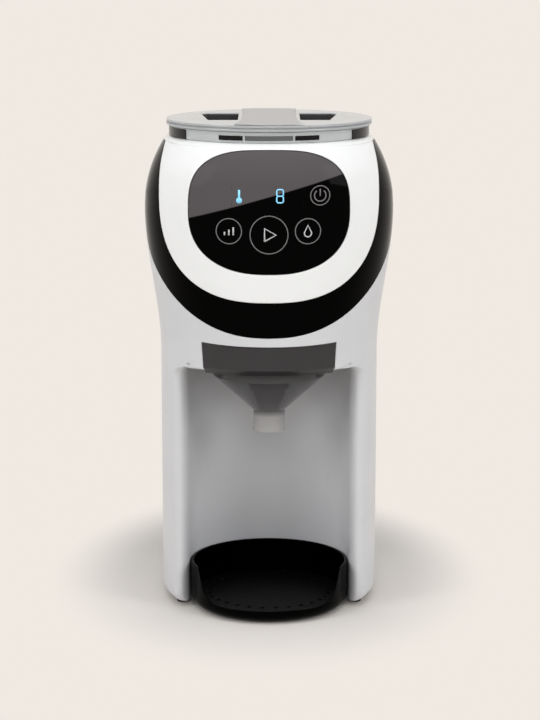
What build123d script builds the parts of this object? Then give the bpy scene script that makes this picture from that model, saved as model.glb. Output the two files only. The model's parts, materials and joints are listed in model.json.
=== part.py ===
"""Compact baby formula maker: powder hopper on top, water tank behind, bottle bay in front.

Millimetres. +Z is up, -Y is the front, X = 0 is the plane of symmetry. The origin is on the table,
in the middle of the machine's footprint.
"""
from build123d import *
import math
import os

# ---------------------------------------------------------------- driving dimensions
# outer skin
body_half = 67.6  # half width of the body at the columns
head_half = 77.1  # half width of the head at its widest
shoulder_drop = 13.5  # how far the shoulder draws in again at the deck
body_reach = 73.0  # from the hopper axis forward to the front of the body
head_reach = 75.0  # the same at the head
deck_setback = 9.0  # how far the front of the deck lies behind the head
front_power = 2.25  # squareness of the rounded front, 2 is an ellipse
hopper_y = -39.0  # hopper axis
rear_y = 62.0  # outer face of the rear wall
rear_half = 67.5  # half width at the rear wall
rear_draw = 6.0  # how far the rear corners draw in at the deck
rear_corner = 24.0  # radius of the rear corners
base_z = 3.0  # underside of the body
head_z = 247.0  # height of the widest place
deck_z = 291.5  # top face of the deck
base_round = 7.0  # rounding where the sides meet the underside
deck_round = 3.0  # rounding round the deck
wall = 2.4  # shell wall
fit_gap = 0.15  # gap round a part that is fitted into a cut-out
run_gap = 0.4  # gap round a part that slides out by hand
skin_spans = 12  # spans of the spline round the front
flare_bands = 10  # bands of the skin up to the widest place
dome_bands = 7  # bands of the skin from there to the deck
shaft_gap = 0.05  # radial clearance of a shaft in its hole

# seams of the casing
ring_z = 176.4  # lowest point of the black head ring
ring_slope = 0.86  # rise of the ring's lower edge for each millimetre back
seam_y = -71.0  # joint between the front shell and the rear shell
deck_thick = 2.0

# bezel and touch panel
bezel_half = head_half - 10.9
bezel_top_half = head_half - shoulder_drop - 1.8
bezel_mid_z = 262.0
bezel_low_z = 198.0
bezel_power = 2.6
bezel_proud = 2.0
panel_half = bezel_half - 18.2
panel_mid_z = 252.0
panel_low_rise = 37.0  # from the panel's middle down to its lower edge
panel_high_rise = 36.4  # and up to its upper edge
panel_ledge = 3.0  # the bezel's rim behind the glass
panel_low_power = 2.42
panel_high_power = 2.9
panel_gap = 0.2  # round the glass
panel_sink = 0.4  # the glass lies this much below the bezel's face
panel_thick = 2.2
board_half = panel_half - 12.0
board_low_z = 222.0
board_high_z = 268.0
board_thick = 1.6
pad_radius = 4.0
stud_radius = 2.5
button_z = 240.0  # height of the row of touch buttons
button_xs = (-23.4, 0.0, 23.0)
power_key = (30.2, 262.0)

# bottle bay, funnel and tray
bay_y = -68.0  # axis of the bay, the funnel and the tray
bay_radius = 51.0
bay_ceiling_z = 155.0
column_seat = 4.6  # from the bay to the axis of a column's rounded nose
column_round = 5.2  # radius of that nose
drawer_half = 40.4  # funnel drawer front
drawer_top_z = 170.5
drawer_top_rise = 1.4  # its corners stand this much higher than its middle
drawer_bend_z = 156.6  # below this the drawer front leans in to its lip
drawer_low_z = 152.8
drawer_front_radius = 75.0
drawer_front_y = -37.0  # axis of the drawer front's curve
drawer_thick = 2.5
drawer_rear_y = -90.0  # the brow is cut through as far back as this
funnel_radius = 33.0
funnel_shoulder_z = 147.0
funnel_throat_z = 124.3
nozzle_radius = 9.8
nozzle_end_z = 111.0
funnel_wall = 1.8
collar_top_z = 166.5
flange_half = drawer_half - 0.4
flange_rear_y = -30.0
slot_half = funnel_radius + 5.0  # the slot in the bay's ceiling
housing_half = 46.0
housing_front_y = -88.0
housing_rear_y = -26.0
housing_wall = 2.0
tray_radius = 49.0
tray_height = 28.0
tray_front_z = 8.6
tray_low_z = 1.0
tray_round = 6.5
tray_wall = 2.0
tray_floor = 1.0
tray_dip_x = 30.0  # the front rim is low as far out as this
tray_high_x = 43.7  # and high again from here
grate_thick = 1.5
drain_ring_radius = 38.0
drain_count = 29
drain_radius = 1.5
tongue_radius = 31.0
neck_half = 18.0
pan_thick = 2.0
pan_front_y = -45.0

# hopper, lid and powder drive
rim_margin = 2.1  # deck left beside the hopper's rim
rim_radius = min(head_half - shoulder_drop, head_reach - deck_setback) - rim_margin
hopper_radius = rim_radius - 3.5
hopper_wall = 2.0
rim_top_z = 298.0
well_wall = 1.8
well_gap = 0.6
well_floor_z = 226.4  # upper face of the well's floor
well_flange_radius = rim_radius + 0.5
throat_radius = hopper_radius - 9.5
throat_top_z = 238.0
cone_top_z = 256.0
wheel_radius = throat_radius - hopper_wall - 2.5
outlet_offset = wheel_radius - 11.0  # from the hopper axis to the powder outlet
outlet_radius = 9.0
wheel_thick = 7.0
pocket_radius = 8.5
pocket_count = 6
base_thick = 2.0
scraper_thick = 1.5
stirrer_z = 241.0
stirrer_hub = 9.0
stirrer_arms = 4
arm_thick = 3.0
lid_radius = rim_radius + 2.0
lid_thick = 3.7
grip_thick = 0.6
grip_waist = 16.4
grip_waist_back = 22.0  # its narrowest place lies this far behind the hopper axis
grip_front = 21.5
grip_back = 17.6
seal_radius = hopper_radius - hopper_wall - 0.3
seal_thick = 2.8  # with its gap to the plug ring
seal_low_z = 293.0
plug_radius = seal_radius - seal_thick
plug_wall = 1.9
plug_low_z = 289.0
recess_radius = plug_radius - 3.5
recess_inner_x = 19.0
recess_outer_back = 43.2  # its outer edge slants from here at the back
recess_outer_front = 37.0  # to here at the front
recess_back = 31.0  # from the hopper axis to the back of the finger recess
recess_front = 21.0  # and to its front
recess_depth = 12.3  # below the lid's underside
recess_wall = 1.3
gear_module = 1.0
gear_teeth = 32
pinion_teeth = 16
gear_thick = 7.0
chassis_z = 208.0  # underside of the chassis plate
chassis_thick = 2.4
chassis_radius = hopper_radius - 4.0
chassis_post_ring = chassis_radius - 4.0
shaft_radius = 4.0
shaft_low_z = 203.0
bush_radius = 7.0
dog_top_z = 236.5
dog_flats = 9.0
motor_radius = 18.0
motor_length = 29.0
motor_shaft_radius = 3.0
motor_ear_x = 22.0
chute_wall = 1.5

# water side
tank_half = 62.0
tank_front_y = 64.5
tank_back_y = 117.0
tank_top_z = 272.0
tank_wall = 2.2
tank_corner = 26.0
shelf_top_z = 28.0
valve_y = 88.0
valve_radius = 9.0
hinge_y = 70.0
hinge_x = 29.0  # middle of the tank's hinge ears
hinge_radius = 3.6
tank_lid_thick = 2.4
hinge_pin_radius = 1.6
heater_radius = 20.0
heater_x = 30.0
heater_y = 18.0
heater_low_z = 30.0
heater_top_z = 130.0
pump_x = -33.0
pump_front_y = 8.0
pump_rear_y = 40.0
pump_radius = 13.0
hose_z = 19.0  # height of the hose from the tank's seat to the pump
heater_inlet_z = 60.0
board_rear_y = 54.6  # rear face of the power board
hose_radius = 3.5
barb_radius = 2.2
barb_gap = 0.1
seat_radius = 13.7
seat_bore = 11.0
seat_low_z = 13.0
poppet_radius = 5.5
float_x = 37.0
float_size = 10.0
spout_x = 21.0
spout_y = -58.0
gland_x = -24.0
gland_z = 15.0
gland_bore = 3.5
gland_radius = 6.4
gland_flange = 8.5
foot_radius = 8.0
front_foot_radius = 3.6
screw_radius = 1.6
screw_head = 3.0
screw_head_thick = 1.6
screw_length = 9.0
seat_gap = 0.1  # under a part that stands loosely on another
slide_gap = 0.3  # between parts that move past each other

# ---------------------------------------------------------------- sizes that follow from them
ceiling_top_z = bay_ceiling_z + wall
flare_z = ceiling_top_z  # the head starts to flare just above the bay
cap_z = deck_z - deck_thick  # underside of the deck
pan_top_z = base_z + pan_thick
flange_z = ceiling_top_z + run_gap
roof_z = drawer_top_z + 1.5
chassis_top_z = chassis_z + chassis_thick
gear_z = chassis_top_z + 1.6
outlet_y = hopper_y - outlet_offset
chute_radius = outlet_radius + 2.6 + chute_wall
well_radius = hopper_radius + well_gap
well_outer_radius = well_radius + well_wall
well_under_z = well_floor_z - well_wall
hopper_low_z = well_floor_z + slide_gap
hopper_base_z = hopper_low_z + 1.2
wheel_z = hopper_base_z + base_thick + run_gap
wheel_top_z = wheel_z + wheel_thick
scraper_z = wheel_top_z + run_gap
nut_z = stirrer_z + stirrer_hub
gear_pitch = gear_module * gear_teeth / 2
pinion_pitch = gear_module * pinion_teeth / 2
motor_y = hopper_y + gear_pitch + pinion_pitch
motor_top_z = chassis_z - 2.0
lid_low_z = rim_top_z + slide_gap
lid_top_z = lid_low_z + lid_thick
tray_floor_z = pan_top_z + 0.2
grate_low_z = tray_floor_z + tray_floor + seat_gap
grate_top_z = grate_low_z + grate_thick
shelf_back_y = tank_back_y - 1.0
shelf_front_y = rear_y + fit_gap
tank_low_z = shelf_top_z + slide_gap
hinge_z = tank_top_z + hinge_radius + slide_gap
board_y = hopper_y - well_outer_radius - 2.6  # front face of the control board
hose_bore = barb_radius + barb_gap
nose_share = ((bay_radius + column_seat) / (body_half - column_seat)) ** front_power
nose_y = hopper_y - (body_reach - column_seat) * (1 - nose_share) ** (1 / front_power)
far = 200.0  # longer than the machine is wide, for cutting tools


def step_up(t):
    """Smooth rise from 0 to 1."""
    t = min(max(t, 0.0), 1.0)
    return t * t * (3 - 2 * t)


def half_width(z):
    """Half width of the outer skin at height z."""
    if z <= head_z:
        return body_half + (head_half - body_half) * step_up((z - flare_z) / (head_z - flare_z))
    return head_half - shoulder_drop * ((z - head_z) / (deck_z - head_z)) ** 2.15


def front_reach(z):
    """Distance from the hopper axis to the front of the outer skin at height z."""
    if z <= head_z:
        return body_reach + (head_reach - body_reach) * step_up((z - flare_z) / (head_z - flare_z))
    return head_reach - deck_setback * ((z - head_z) / (deck_z - head_z)) ** 6


def squircle(half_x, half_y, power, start, end, count):
    """Points of a superellipse round the origin, from one angle to another, in degrees."""
    points = []
    for i in range(count + 1):
        angle = math.radians(start + (end - start) * i / count)
        c, s = math.cos(angle), math.sin(angle)
        x = half_x * math.copysign(abs(c) ** (2 / power), c) if abs(c) > 1e-9 else 0.0
        y = half_y * math.copysign(abs(s) ** (2 / power), s) if abs(s) > 1e-9 else 0.0
        points.append((x, y))
    return points


def skin_section(z, grow):
    """Plan outline of the skin at height z, grown outwards by grow."""
    a = half_width(z) + grow
    b = front_reach(z) + grow
    back = rear_y + grow
    side = rear_half + grow - rear_draw * step_up((z - head_z) / (deck_z - head_z))
    corner = rear_corner + grow
    front = [Vector(x, hopper_y + y) for x, y in squircle(a, b, front_power, 180, 360, skin_spans)]
    even = [i / skin_spans for i in range(skin_spans + 1)]  # every section gets the same knots
    edges = Curve() + Edge.make_spline(front, tangents=[(0, -1), (0, 1)], parameters=even)
    edges += Spline((a, hopper_y), (side, back - corner), tangents=[(0, 1), (0, 1)])
    edges += RadiusArc((side, back - corner), (side - corner, back), -corner)
    edges += Line((side - corner, back), (corner - side, back))
    edges += RadiusArc((corner - side, back), (-side, back - corner), -corner)
    edges += Spline((-side, back - corner), (-a, hopper_y), tangents=[(0, -1), (0, -1)])
    return Pos(0, 0, z) * make_face(edges)


def head_skin(low=bay_ceiling_z, grow=0.0, grow_at=None, open_top=False):
    """The flared head above the bay as one solid, in bands, with its skin moved out by grow."""
    high = deck_z - deck_round
    grow_at = grow_at or (lambda z: grow)
    stations = [(low + (head_z - low) * i / flare_bands, 0.0) for i in range(flare_bands + 1)]
    stations += [(head_z + (high - head_z) * i / dome_bands, 0.0) for i in range(1, dome_bands + 1)]
    if open_top:
        stations.append((deck_z + deck_thick, 0.0))
    else:
        rounding = [math.radians(90 * i / 4) for i in range(1, 5)]
        stations += [(high + deck_round * math.sin(a), deck_round * (1 - math.cos(a))) for a in rounding]
    return loft([skin_section(z, grow_at(z) - draw) for z, draw in stations], ruled=True)


def box(x0, x1, y0, y1, z0, z1):
    """Box between two corners."""
    return Pos((x0 + x1) / 2, (y0 + y1) / 2, (z0 + z1) / 2) * Box(x1 - x0, y1 - y0, z1 - z0)


def post(radius, z0, z1, x=0.0, y=0.0):
    """Upright cylinder between two heights."""
    return Pos(x, y, (z0 + z1) / 2) * Cylinder(radius, z1 - z0)


def tube(outer, inner, z0, z1, x=0.0, y=0.0):
    """Upright tube between two heights."""
    return post(outer, z0, z1, x, y) - post(inner, z0 - 1, z1 + 1, x, y)


def turned(profile, x=0.0, y=0.0):
    """Solid of revolution about an upright axis, from (radius, z) corners."""
    face = make_face(Plane.XZ * Polyline(*profile, close=True))
    return Pos(x, y, 0) * revolve(face, Axis.Z)


def rod(radius, start, end):
    """Cylinder between two points."""
    axis = Vector(*end) - Vector(*start)
    return extrude(Plane(origin=start, z_dir=axis) * Circle(radius), axis.length)


def pipe(outer, inner, start, end):
    """Tube between two points."""
    return rod(outer, start, end) - rod(inner, start, end)


def rounded_plate(half_x, y0, y1, z0, z1, front_round, back_round):
    """Upright prism, straight in height, with its upright edges rounded."""
    block = box(-half_x, half_x, y0, y1, z0, z1)
    uprights = block.edges().filter_by(Axis.Z)
    middle = (y0 + y1) / 2
    block = fillet([e for e in uprights if e.center().Y < middle], front_round)
    uprights = block.edges().filter_by(Axis.Z)
    return fillet([e for e in uprights if e.center().Y > middle and abs(e.center().X) > half_x - 0.01],
                  back_round)


def mirrored(shape):
    """A shape and its mirror image across the plane of symmetry."""
    return shape + mirror(shape, about=Plane.YZ)


def bay_space(radius, z0, z1):
    """A round pocket on the bay's axis that is open to the front."""
    return post(radius, z0, z1, 0, bay_y) + box(-radius, radius, -far, bay_y, z0, z1)


def straight_body(low, high, grow, rounding):
    """The body below the bay's ceiling, round the bottle bay, with its underside rounded."""
    body = extrude(skin_section(low, grow), high - low) - bay_space(bay_radius - grow, low - 1, high + 1)
    for side in (-1, 1):
        x = side * (bay_radius + column_seat)
        corner = box(x - 12, x + 12, nose_y - 20, nose_y - 1, low - 1, high + 1)
        body -= corner - post(column_round + grow, low - 2, high + 2, x, nose_y)
    turns = [math.radians(90 * i / 4) for i in range(5)]
    stations = [(low + rounding * (1 - math.cos(a)), rounding * (1 - math.sin(a))) for a in turns]
    stations.append((high, 0.0))
    return body & loft([skin_section(z, grow - draw) for z, draw in stations], ruled=True)


# ---------------------------------------------------------------- regions of the skin
def slant_z(y):
    """Height of the head ring's slanted lower edge at depth y."""
    return ring_z + ring_slope * (y + body_reach - hopper_y)


def side_region(*corners):
    """Everything inside a Y-Z outline, across the whole width."""
    return extrude(make_face(Plane.YZ * Polyline(*corners, close=True)), far, both=True)


def forward_prism(face, start=seam_y):
    """Run an X-Z outline forward through the front of the machine."""
    return Pos(0, start, 0) * extrude(face, far / 2, dir=(0, -1, 0))


def bezel_outline():
    """Shield outline of the bezel, in X and Z."""
    low = squircle(bezel_half, bezel_mid_z - bezel_low_z, bezel_power, 180, 360, 14)
    edges = Spline(*[(x, bezel_mid_z + z) for x, z in low], tangents=[(0, -1), (0, 1)])
    edges += Spline((bezel_half, bezel_mid_z), (bezel_top_half, deck_z + 2), tangents=[(0, 1), (-0.35, 1)])
    edges += Line((bezel_top_half, deck_z + 2), (-bezel_top_half, deck_z + 2))
    edges += Spline((-bezel_top_half, deck_z + 2), (-bezel_half, bezel_mid_z), tangents=[(-0.35, -1), (0, -1)])
    return make_face(Plane.XZ * edges)


def panel_outline(inset=0.0):
    """Outline of the touch panel, in X and Z."""
    half = panel_half - inset
    low = squircle(half, panel_low_rise - inset, panel_low_power, 180, 360, 16)
    high = squircle(half, panel_high_rise - inset, panel_high_power, 0, 180, 16)
    edges = Spline(*[(x, panel_mid_z + z) for x, z in low], tangents=[(0, -1), (0, 1)])
    edges += Spline(*[(x, panel_mid_z + z) for x, z in high], tangents=[(0, 1), (0, -1)])
    return make_face(Plane.XZ * edges)


def drawer_outline(grow=0.0):
    """Outline of the funnel drawer's front, in X and Z, narrower towards its lip."""
    half = drawer_half + grow
    middle = drawer_top_z + grow
    corners = [(half, middle + drawer_top_rise), (half - 0.6, drawer_bend_z), (half - 2.2, drawer_low_z - grow)]
    sides = Polyline(*corners, *[(-x, z) for x, z in reversed(corners)])
    top = ThreePointArc((-corners[0][0], corners[0][1]), (0, middle), corners[0])
    return make_face(Plane.XZ * (sides + top))


def bezel_grow(z):
    """The bezel stands proud of the skin and fades into the deck."""
    fade_z = panel_mid_z + panel_high_rise / 2
    return bezel_proud * (1 - step_up((z - fade_z) / (cap_z - fade_z)))


def panel_grow(z):
    """Face of the glass."""
    return bezel_grow(z) - panel_sink


outer_body = straight_body(base_z, bay_ceiling_z, 0.0, base_round)
inner_body = straight_body(base_z + wall, ceiling_top_z, -wall, base_round - wall)
outer_head = head_skin()
inner_head = head_skin(low=ceiling_top_z, grow=-wall, open_top=True)
behind_panel = head_skin(grow_at=lambda z: panel_grow(z) - panel_thick)
body_shell = outer_body - inner_body
head_shell = outer_head - inner_head - inner_body

slant_end_y = (cap_z - ring_z) / ring_slope - body_reach + hopper_y  # where the slant meets the deck
front_region = side_region((-far, -1), (seam_y, -1), (seam_y, slant_z(seam_y)), (-far, slant_z(-far)))
rear_region = side_region((seam_y, -1), (far, -1), (far, cap_z), (slant_end_y, cap_z),
                          (seam_y, slant_z(seam_y)))
ring_region = side_region((-far, slant_z(-far)), (slant_end_y, cap_z), (-far, cap_z))
liner_region = bay_space(bay_radius + wall + 0.3, base_z - 1, ceiling_top_z + 1)

# places of the screws under the floor, as x, y
pan_screws = [(side * (body_half - 17.6), y) for side in (-1, 1) for y in (rear_y - 20, hopper_y + 9)]
shelf_screws = [(side * (tank_half - 10), rear_y + 7) for side in (-1, 1)]
shelf_screws += [(side * (tank_half - 14), shelf_back_y - 14) for side in (-1, 1)]


# ---------------------------------------------------------------- casing
def pan_floor(grow, bay_side):
    """The base pan's opening behind the bay, in plan, as a prism through the floor."""
    floor = Pos(0, 0, -base_z) * extrude(skin_section(base_z, grow - base_round - 0.8), base_z + wall + 4)
    floor &= box(-far, far, pan_front_y - grow, far, -1, base_z + far)
    return floor - bay_space(bay_side, -1, far)


def screw_post(x, y, top_z):
    """Post with a pilot hole, just clear of the plate that is screwed to it."""
    return post(screw_radius + 1.9, pan_top_z + fit_gap, top_z, x, y)


def pilot(x, y, top_z):
    return post(screw_radius + shaft_gap, base_z - 1, top_z, x, y)


def hose_window():
    """Way through the rear wall for the hose from the tank."""
    half = tank_half - 28
    return box(-half, half, rear_y - 8, shelf_front_y + wall + 1, base_z + wall + 1, shelf_top_z - wall)


def rear_shell():
    """Sides and rear wall."""
    solid = (body_shell & rear_region) + (head_shell & rear_region)
    solid -= liner_region + hose_window()
    solid -= pan_floor(0.0, bay_radius)
    for x, y in pan_screws:
        side = math.copysign(half_width(base_z) - 1.6, x)
        rib = box(min(x, side), max(x, side), y - 1, y + 1, pan_top_z + fit_gap, pan_top_z + 12)
        solid += screw_post(x, y, pan_top_z + 12) + rib
        solid -= pilot(x, y, pan_top_z + 11)
    for x in (-26, 26):
        for z in (74, 146):
            solid += rod(3, (x, board_rear_y, z), (x, rear_y - 1, z))
    for side in (-1, 1):  # cooling slots behind the tank
        for i in range(5):
            slot_z = shelf_top_z + 12 + 7 * i
            solid -= box(side * 36 - 12, side * 36 + 12, rear_y - wall - 1, rear_y + 1, slot_z, slot_z + 3)
    return solid


def tank_shelf():
    """Shelf against the rear wall that carries the tank, open below."""
    solid = rounded_plate(tank_half, shelf_front_y, shelf_back_y, base_z, shelf_top_z, 1, tank_corner)
    solid -= rounded_plate(tank_half - wall, shelf_front_y + wall, shelf_back_y - wall, base_z - 1,
                           shelf_top_z - wall, 1, tank_corner - wall)
    solid -= hose_window()
    for x, y in shelf_screws:
        solid += screw_post(x, y, shelf_top_z - 1)
        solid -= pilot(x, y, shelf_top_z - wall)
    solid -= post(seat_radius + run_gap, shelf_top_z - wall - 1, shelf_top_z + 1, 0, valve_y)
    return solid - rod(gland_radius + fit_gap, (gland_x, shelf_back_y - 9, gland_z), (gland_x, far, gland_z))


def front_shell():
    """Columns, brow, the bay's liner and its ceiling."""
    zone = front_region + liner_region
    solid = (body_shell & zone) + (head_shell & zone)
    solid -= forward_prism(drawer_outline(run_gap), drawer_rear_y)
    slot = post(slot_half, bay_ceiling_z - 1, ceiling_top_z + 1, 0, bay_y)
    slot += box(-slot_half, slot_half, drawer_rear_y - 1, bay_y, bay_ceiling_z - 1, ceiling_top_z + 1)
    solid -= slot
    neck = neck_half + run_gap
    return solid - box(-neck, neck, bay_y, pan_front_y + far / 4, base_z - 1, pan_top_z + fit_gap)


def top_deck():
    """Deck round the hopper, rounded over into the sides."""
    solid = outer_head & box(-far, far, -far, far, cap_z, deck_z + 1)
    return solid - post(well_radius, cap_z - 1, deck_z + 1, 0, hopper_y)


def base_pan():
    """Floor behind the bay, with a tongue under the bay that the tray slides over."""
    solid = pan_floor(-fit_gap, bay_radius + wall + 0.6)
    solid &= box(-far, far, -far, far, base_z, pan_top_z)
    solid += box(-neck_half, neck_half, bay_y, bay_y + bay_radius + 12, base_z, pan_top_z)
    solid += post(tongue_radius, base_z, pan_top_z, 0, bay_y)
    for x, y in pan_screws:
        solid -= post(screw_radius + fit_gap, 0, far, x, y)
    for i in range(7):  # cooling slots
        x = -18 + 6 * i
        solid -= box(x - 1.5, x + 1.5, 2, 40, 0, far) if abs(x) < 9 else box(
            x - 1.5, x + 1.5, 44, 52, 0, far)
    return solid


def shelf_cover():
    """Plate under the tank's shelf."""
    inset = wall + fit_gap
    solid = rounded_plate(tank_half - inset, shelf_front_y + inset, shelf_back_y - inset, base_z,
                          pan_top_z, 1, tank_corner - inset)
    for x, y in shelf_screws:
        solid -= post(screw_radius + fit_gap, 0, far, x, y)
    return solid


def feet():
    """Rubber feet: small ones under the columns, larger ones under the floor and the shelf."""
    places = [(side * (bay_radius + front_foot_radius + 0.3), bay_y + 2, front_foot_radius)
              for side in (-1, 1)]
    places += [(side * 46, y, foot_radius) for side in (-1, 1) for y in (16, shelf_back_y - 26)]
    solids = []
    for x, y, radius in places:
        solids.append(turned([(0, 0), (radius - 0.8, 0), (radius, base_z), (0, base_z)], x, y))
    return Compound(solids)


def screw(x, y, z, length=screw_length, up=1):
    """Pan-head screw, its head just outside z and its shank running in."""
    head = post(screw_head, z - screw_head_thick, z, x, y) if up > 0 else post(
        screw_head, z, z + screw_head_thick, x, y)
    return head + post(screw_radius, z, z + up * length, x, y) if up > 0 else head + post(
        screw_radius, z - length, z, x, y)


def case_screws():
    return Compound([screw(x, y, base_z) for x, y in pan_screws + shelf_screws])


def head_ring():
    """Gloss band round the bezel, from the brow up to the deck."""
    return (head_shell & ring_region) - forward_prism(bezel_outline())


def bezel():
    """Shield that carries the touch panel, a little proud of the ring."""
    solid = (head_skin(grow_at=bezel_grow) - inner_head) & forward_prism(bezel_outline())
    solid &= box(-far, far, -far, far, 0, cap_z)
    solid -= forward_prism(panel_outline()) - behind_panel
    return solid - forward_prism(panel_outline(panel_ledge))


def touch_panel():
    """Dark glass, set into the bezel."""
    return (head_skin(grow_at=panel_grow) & forward_prism(panel_outline(panel_gap))) - behind_panel


# ---------------------------------------------------------------- behind the panel
def control_board():
    return box(-board_half, board_half, board_y, board_y + board_thick, board_low_z, board_high_z)


def display_module():
    """Display on the face of the control board."""
    return box(-20, 20, board_y - 6, board_y, board_high_z - 14, board_high_z)


def touch_pads():
    """Sensing pads between the control board and the glass, one for each touch key."""
    reach = head_skin(grow_at=lambda z: panel_grow(z) - panel_thick - seat_gap)
    keys = [(x, button_z) for x in button_xs] + [power_key]
    pads = [rod(pad_radius, (x, board_y, z), (x, board_y - 30, z)) & reach for x, z in keys]
    return Compound([pad.solid() for pad in pads])


# ---------------------------------------------------------------- powder drive
chassis_posts = [(x * chassis_post_ring * math.sqrt(0.5), hopper_y + y * chassis_post_ring * math.sqrt(0.5))
                 for x in (-1, 1) for y in (-1, 1)]


def hopper_well():
    """Round well that the hopper stands in, hung from the deck, with posts for the chassis plate."""
    solid = turned([(well_outer_radius, well_under_z), (well_outer_radius, cap_z - well_wall),
                    (well_flange_radius, cap_z - well_wall), (well_flange_radius, cap_z),
                    (0, cap_z), (0, well_under_z)], 0, hopper_y)
    for x, y in chassis_posts:
        solid += post(4, chassis_top_z, well_under_z + 0.5, x, y)
    for x in (-board_half + 4, board_half - 4):
        for z in (board_low_z + 6, board_high_z - 6):
            solid += rod(stud_radius, (x, board_y + board_thick, z), (x, hopper_y, z))
    solid -= post(well_radius, well_floor_z, cap_z + 1, 0, hopper_y)
    solid -= post(dog_flats / 2 + 2, 0, far * 2, 0, hopper_y)
    solid -= post(chute_radius - chute_wall, 0, far * 2, 0, outlet_y)
    for x, y in chassis_posts:
        solid -= post(screw_radius + shaft_gap, 0, well_under_z - 2, x, y)
    return solid


def chassis_plate():
    """Plate that carries the motor and the bush of the drive shaft."""
    solid = post(chassis_radius, chassis_z, chassis_top_z, 0, hopper_y)
    solid -= post(bush_radius + shaft_gap, 0, far * 2, 0, hopper_y)
    solid -= post(chute_radius + run_gap, 0, far * 2, 0, outlet_y)
    solid -= post(motor_shaft_radius + 3.2, 0, far * 2, 0, motor_y)
    for x, y in chassis_posts + [(-motor_ear_x, motor_y), (motor_ear_x, motor_y)]:
        solid -= post(screw_radius + fit_gap, 0, far * 2, x, y)
    return solid


def drive_screws():
    """Screws of the chassis plate, and the shorter ones of the motor."""
    solids = [screw(x, y, chassis_z, 11.0) for x, y in chassis_posts]
    solids += [screw(x, motor_y, motor_top_z - 1, 6.0) for x in (-motor_ear_x, motor_ear_x)]
    return Compound(solids)


def shaft_bush():
    solid = post(bush_radius, chassis_z - 3, chassis_top_z, 0, hopper_y)
    solid += post(bush_radius + 2, chassis_top_z, chassis_top_z + 1.1, 0, hopper_y)
    return solid - post(shaft_radius + shaft_gap, 0, far * 2, 0, hopper_y)


def drive_shaft():
    """Upright shaft with a hexagonal dog that lifts out of the dosing wheel with the hopper."""
    solid = post(shaft_radius, shaft_low_z, well_under_z, 0, hopper_y)
    solid += post(shaft_radius + 2, gear_z + gear_thick, gear_z + gear_thick + 2, 0, hopper_y)
    solid += post(shaft_radius + 2, shaft_low_z, chassis_z - 3 - slide_gap, 0, hopper_y)
    dog = extrude(RegularPolygon(dog_flats / 2, 6, major_radius=False), dog_top_z - well_under_z)
    return solid + Pos(0, hopper_y, well_under_z) * dog


def toothed(teeth, phase):
    """Gear blank with its teeth, narrowed a little for running clearance."""
    pitch = gear_module * teeth / 2
    flank = [(pitch - 1.25 * gear_module, 0.95), (pitch, 0.66), (pitch + gear_module, 0.3)]
    outline = []
    for i in range(teeth):
        middle = math.radians(phase + 360 * i / teeth)
        rising = [(r, middle - half * gear_module / r) for r, half in flank]
        falling = [(r, middle + half * gear_module / r) for r, half in reversed(flank)]
        outline += [(r * math.cos(a), r * math.sin(a)) for r, a in rising + falling]
    return extrude(make_face(Polyline(*outline, close=True)), gear_thick)


def drive_gear():
    solid = Pos(0, hopper_y, gear_z) * toothed(gear_teeth, 0)
    return solid - post(shaft_radius + shaft_gap, 0, far * 2, 0, hopper_y)


def motor_pinion():
    """Pinion with its shaft."""
    solid = Pos(0, motor_y, gear_z) * toothed(pinion_teeth, 180 / pinion_teeth)
    return solid + post(motor_shaft_radius, motor_top_z - 15, gear_z + 0.5, 0, motor_y)


def gear_motor():
    """Motor can with two ears under the chassis plate."""
    low = motor_top_z - motor_length
    solid = post(motor_radius, low, motor_top_z - 1, 0, motor_y)
    solid += post(motor_radius - 6, motor_top_z - 2, chassis_z, 0, motor_y)
    solid += post(motor_shaft_radius + 3, chassis_z - 1, chassis_top_z, 0, motor_y)
    solid += box(-motor_ear_x, motor_ear_x, motor_y - 5, motor_y + 5, motor_top_z - 1, chassis_z)
    for x in (-motor_ear_x, motor_ear_x):
        solid += post(5, motor_top_z - 1, chassis_z, x, motor_y)
    for x in (-motor_ear_x, motor_ear_x):
        solid -= post(screw_radius + fit_gap, 0, far * 2, x, motor_y)
    solid += post(motor_radius - 8, low - 2, low + 1, 0, motor_y)
    return solid - post(motor_shaft_radius + shaft_gap, motor_top_z - 15.5, far * 2, 0, motor_y)


def powder_chute():
    """Leads the powder from the well's floor down to the funnel."""
    solid = tube(chute_radius, chute_radius - chute_wall, roof_z - 2.5, well_under_z, 0, outlet_y)
    return solid + tube(chute_radius + 2.4, chute_radius - chute_wall, well_under_z - 2, well_under_z,
                        0, outlet_y)


# ---------------------------------------------------------------- hopper and lid
def powder_hopper():
    """Clear hopper: throat round the dosing wheel, cone, straight wall and a rim on the deck."""
    t = hopper_wall
    rest_z = deck_z + seat_gap
    return turned([
        (throat_radius - t - 2, hopper_low_z), (throat_radius, hopper_low_z),
        (throat_radius, throat_top_z), (hopper_radius, cone_top_z), (hopper_radius, rim_top_z - t),
        (rim_radius - t, rim_top_z - t), (rim_radius - t, rest_z), (rim_radius, rest_z),
        (rim_radius, rim_top_z), (hopper_radius - t, rim_top_z), (hopper_radius - t, cone_top_z + 0.6),
        (throat_radius - t, throat_top_z + 0.6), (throat_radius - t, hopper_base_z),
        (throat_radius - t - 2, hopper_base_z)], 0, hopper_y)


def hopper_base():
    """Floor of the hopper, with the powder outlet in front."""
    solid = post(throat_radius - hopper_wall - fit_gap, hopper_base_z, hopper_base_z + base_thick, 0, hopper_y)
    solid -= post(dog_flats / 2 + 2, 0, far * 2, 0, hopper_y)
    return solid - post(outlet_radius, 0, far * 2, 0, outlet_y)


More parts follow.
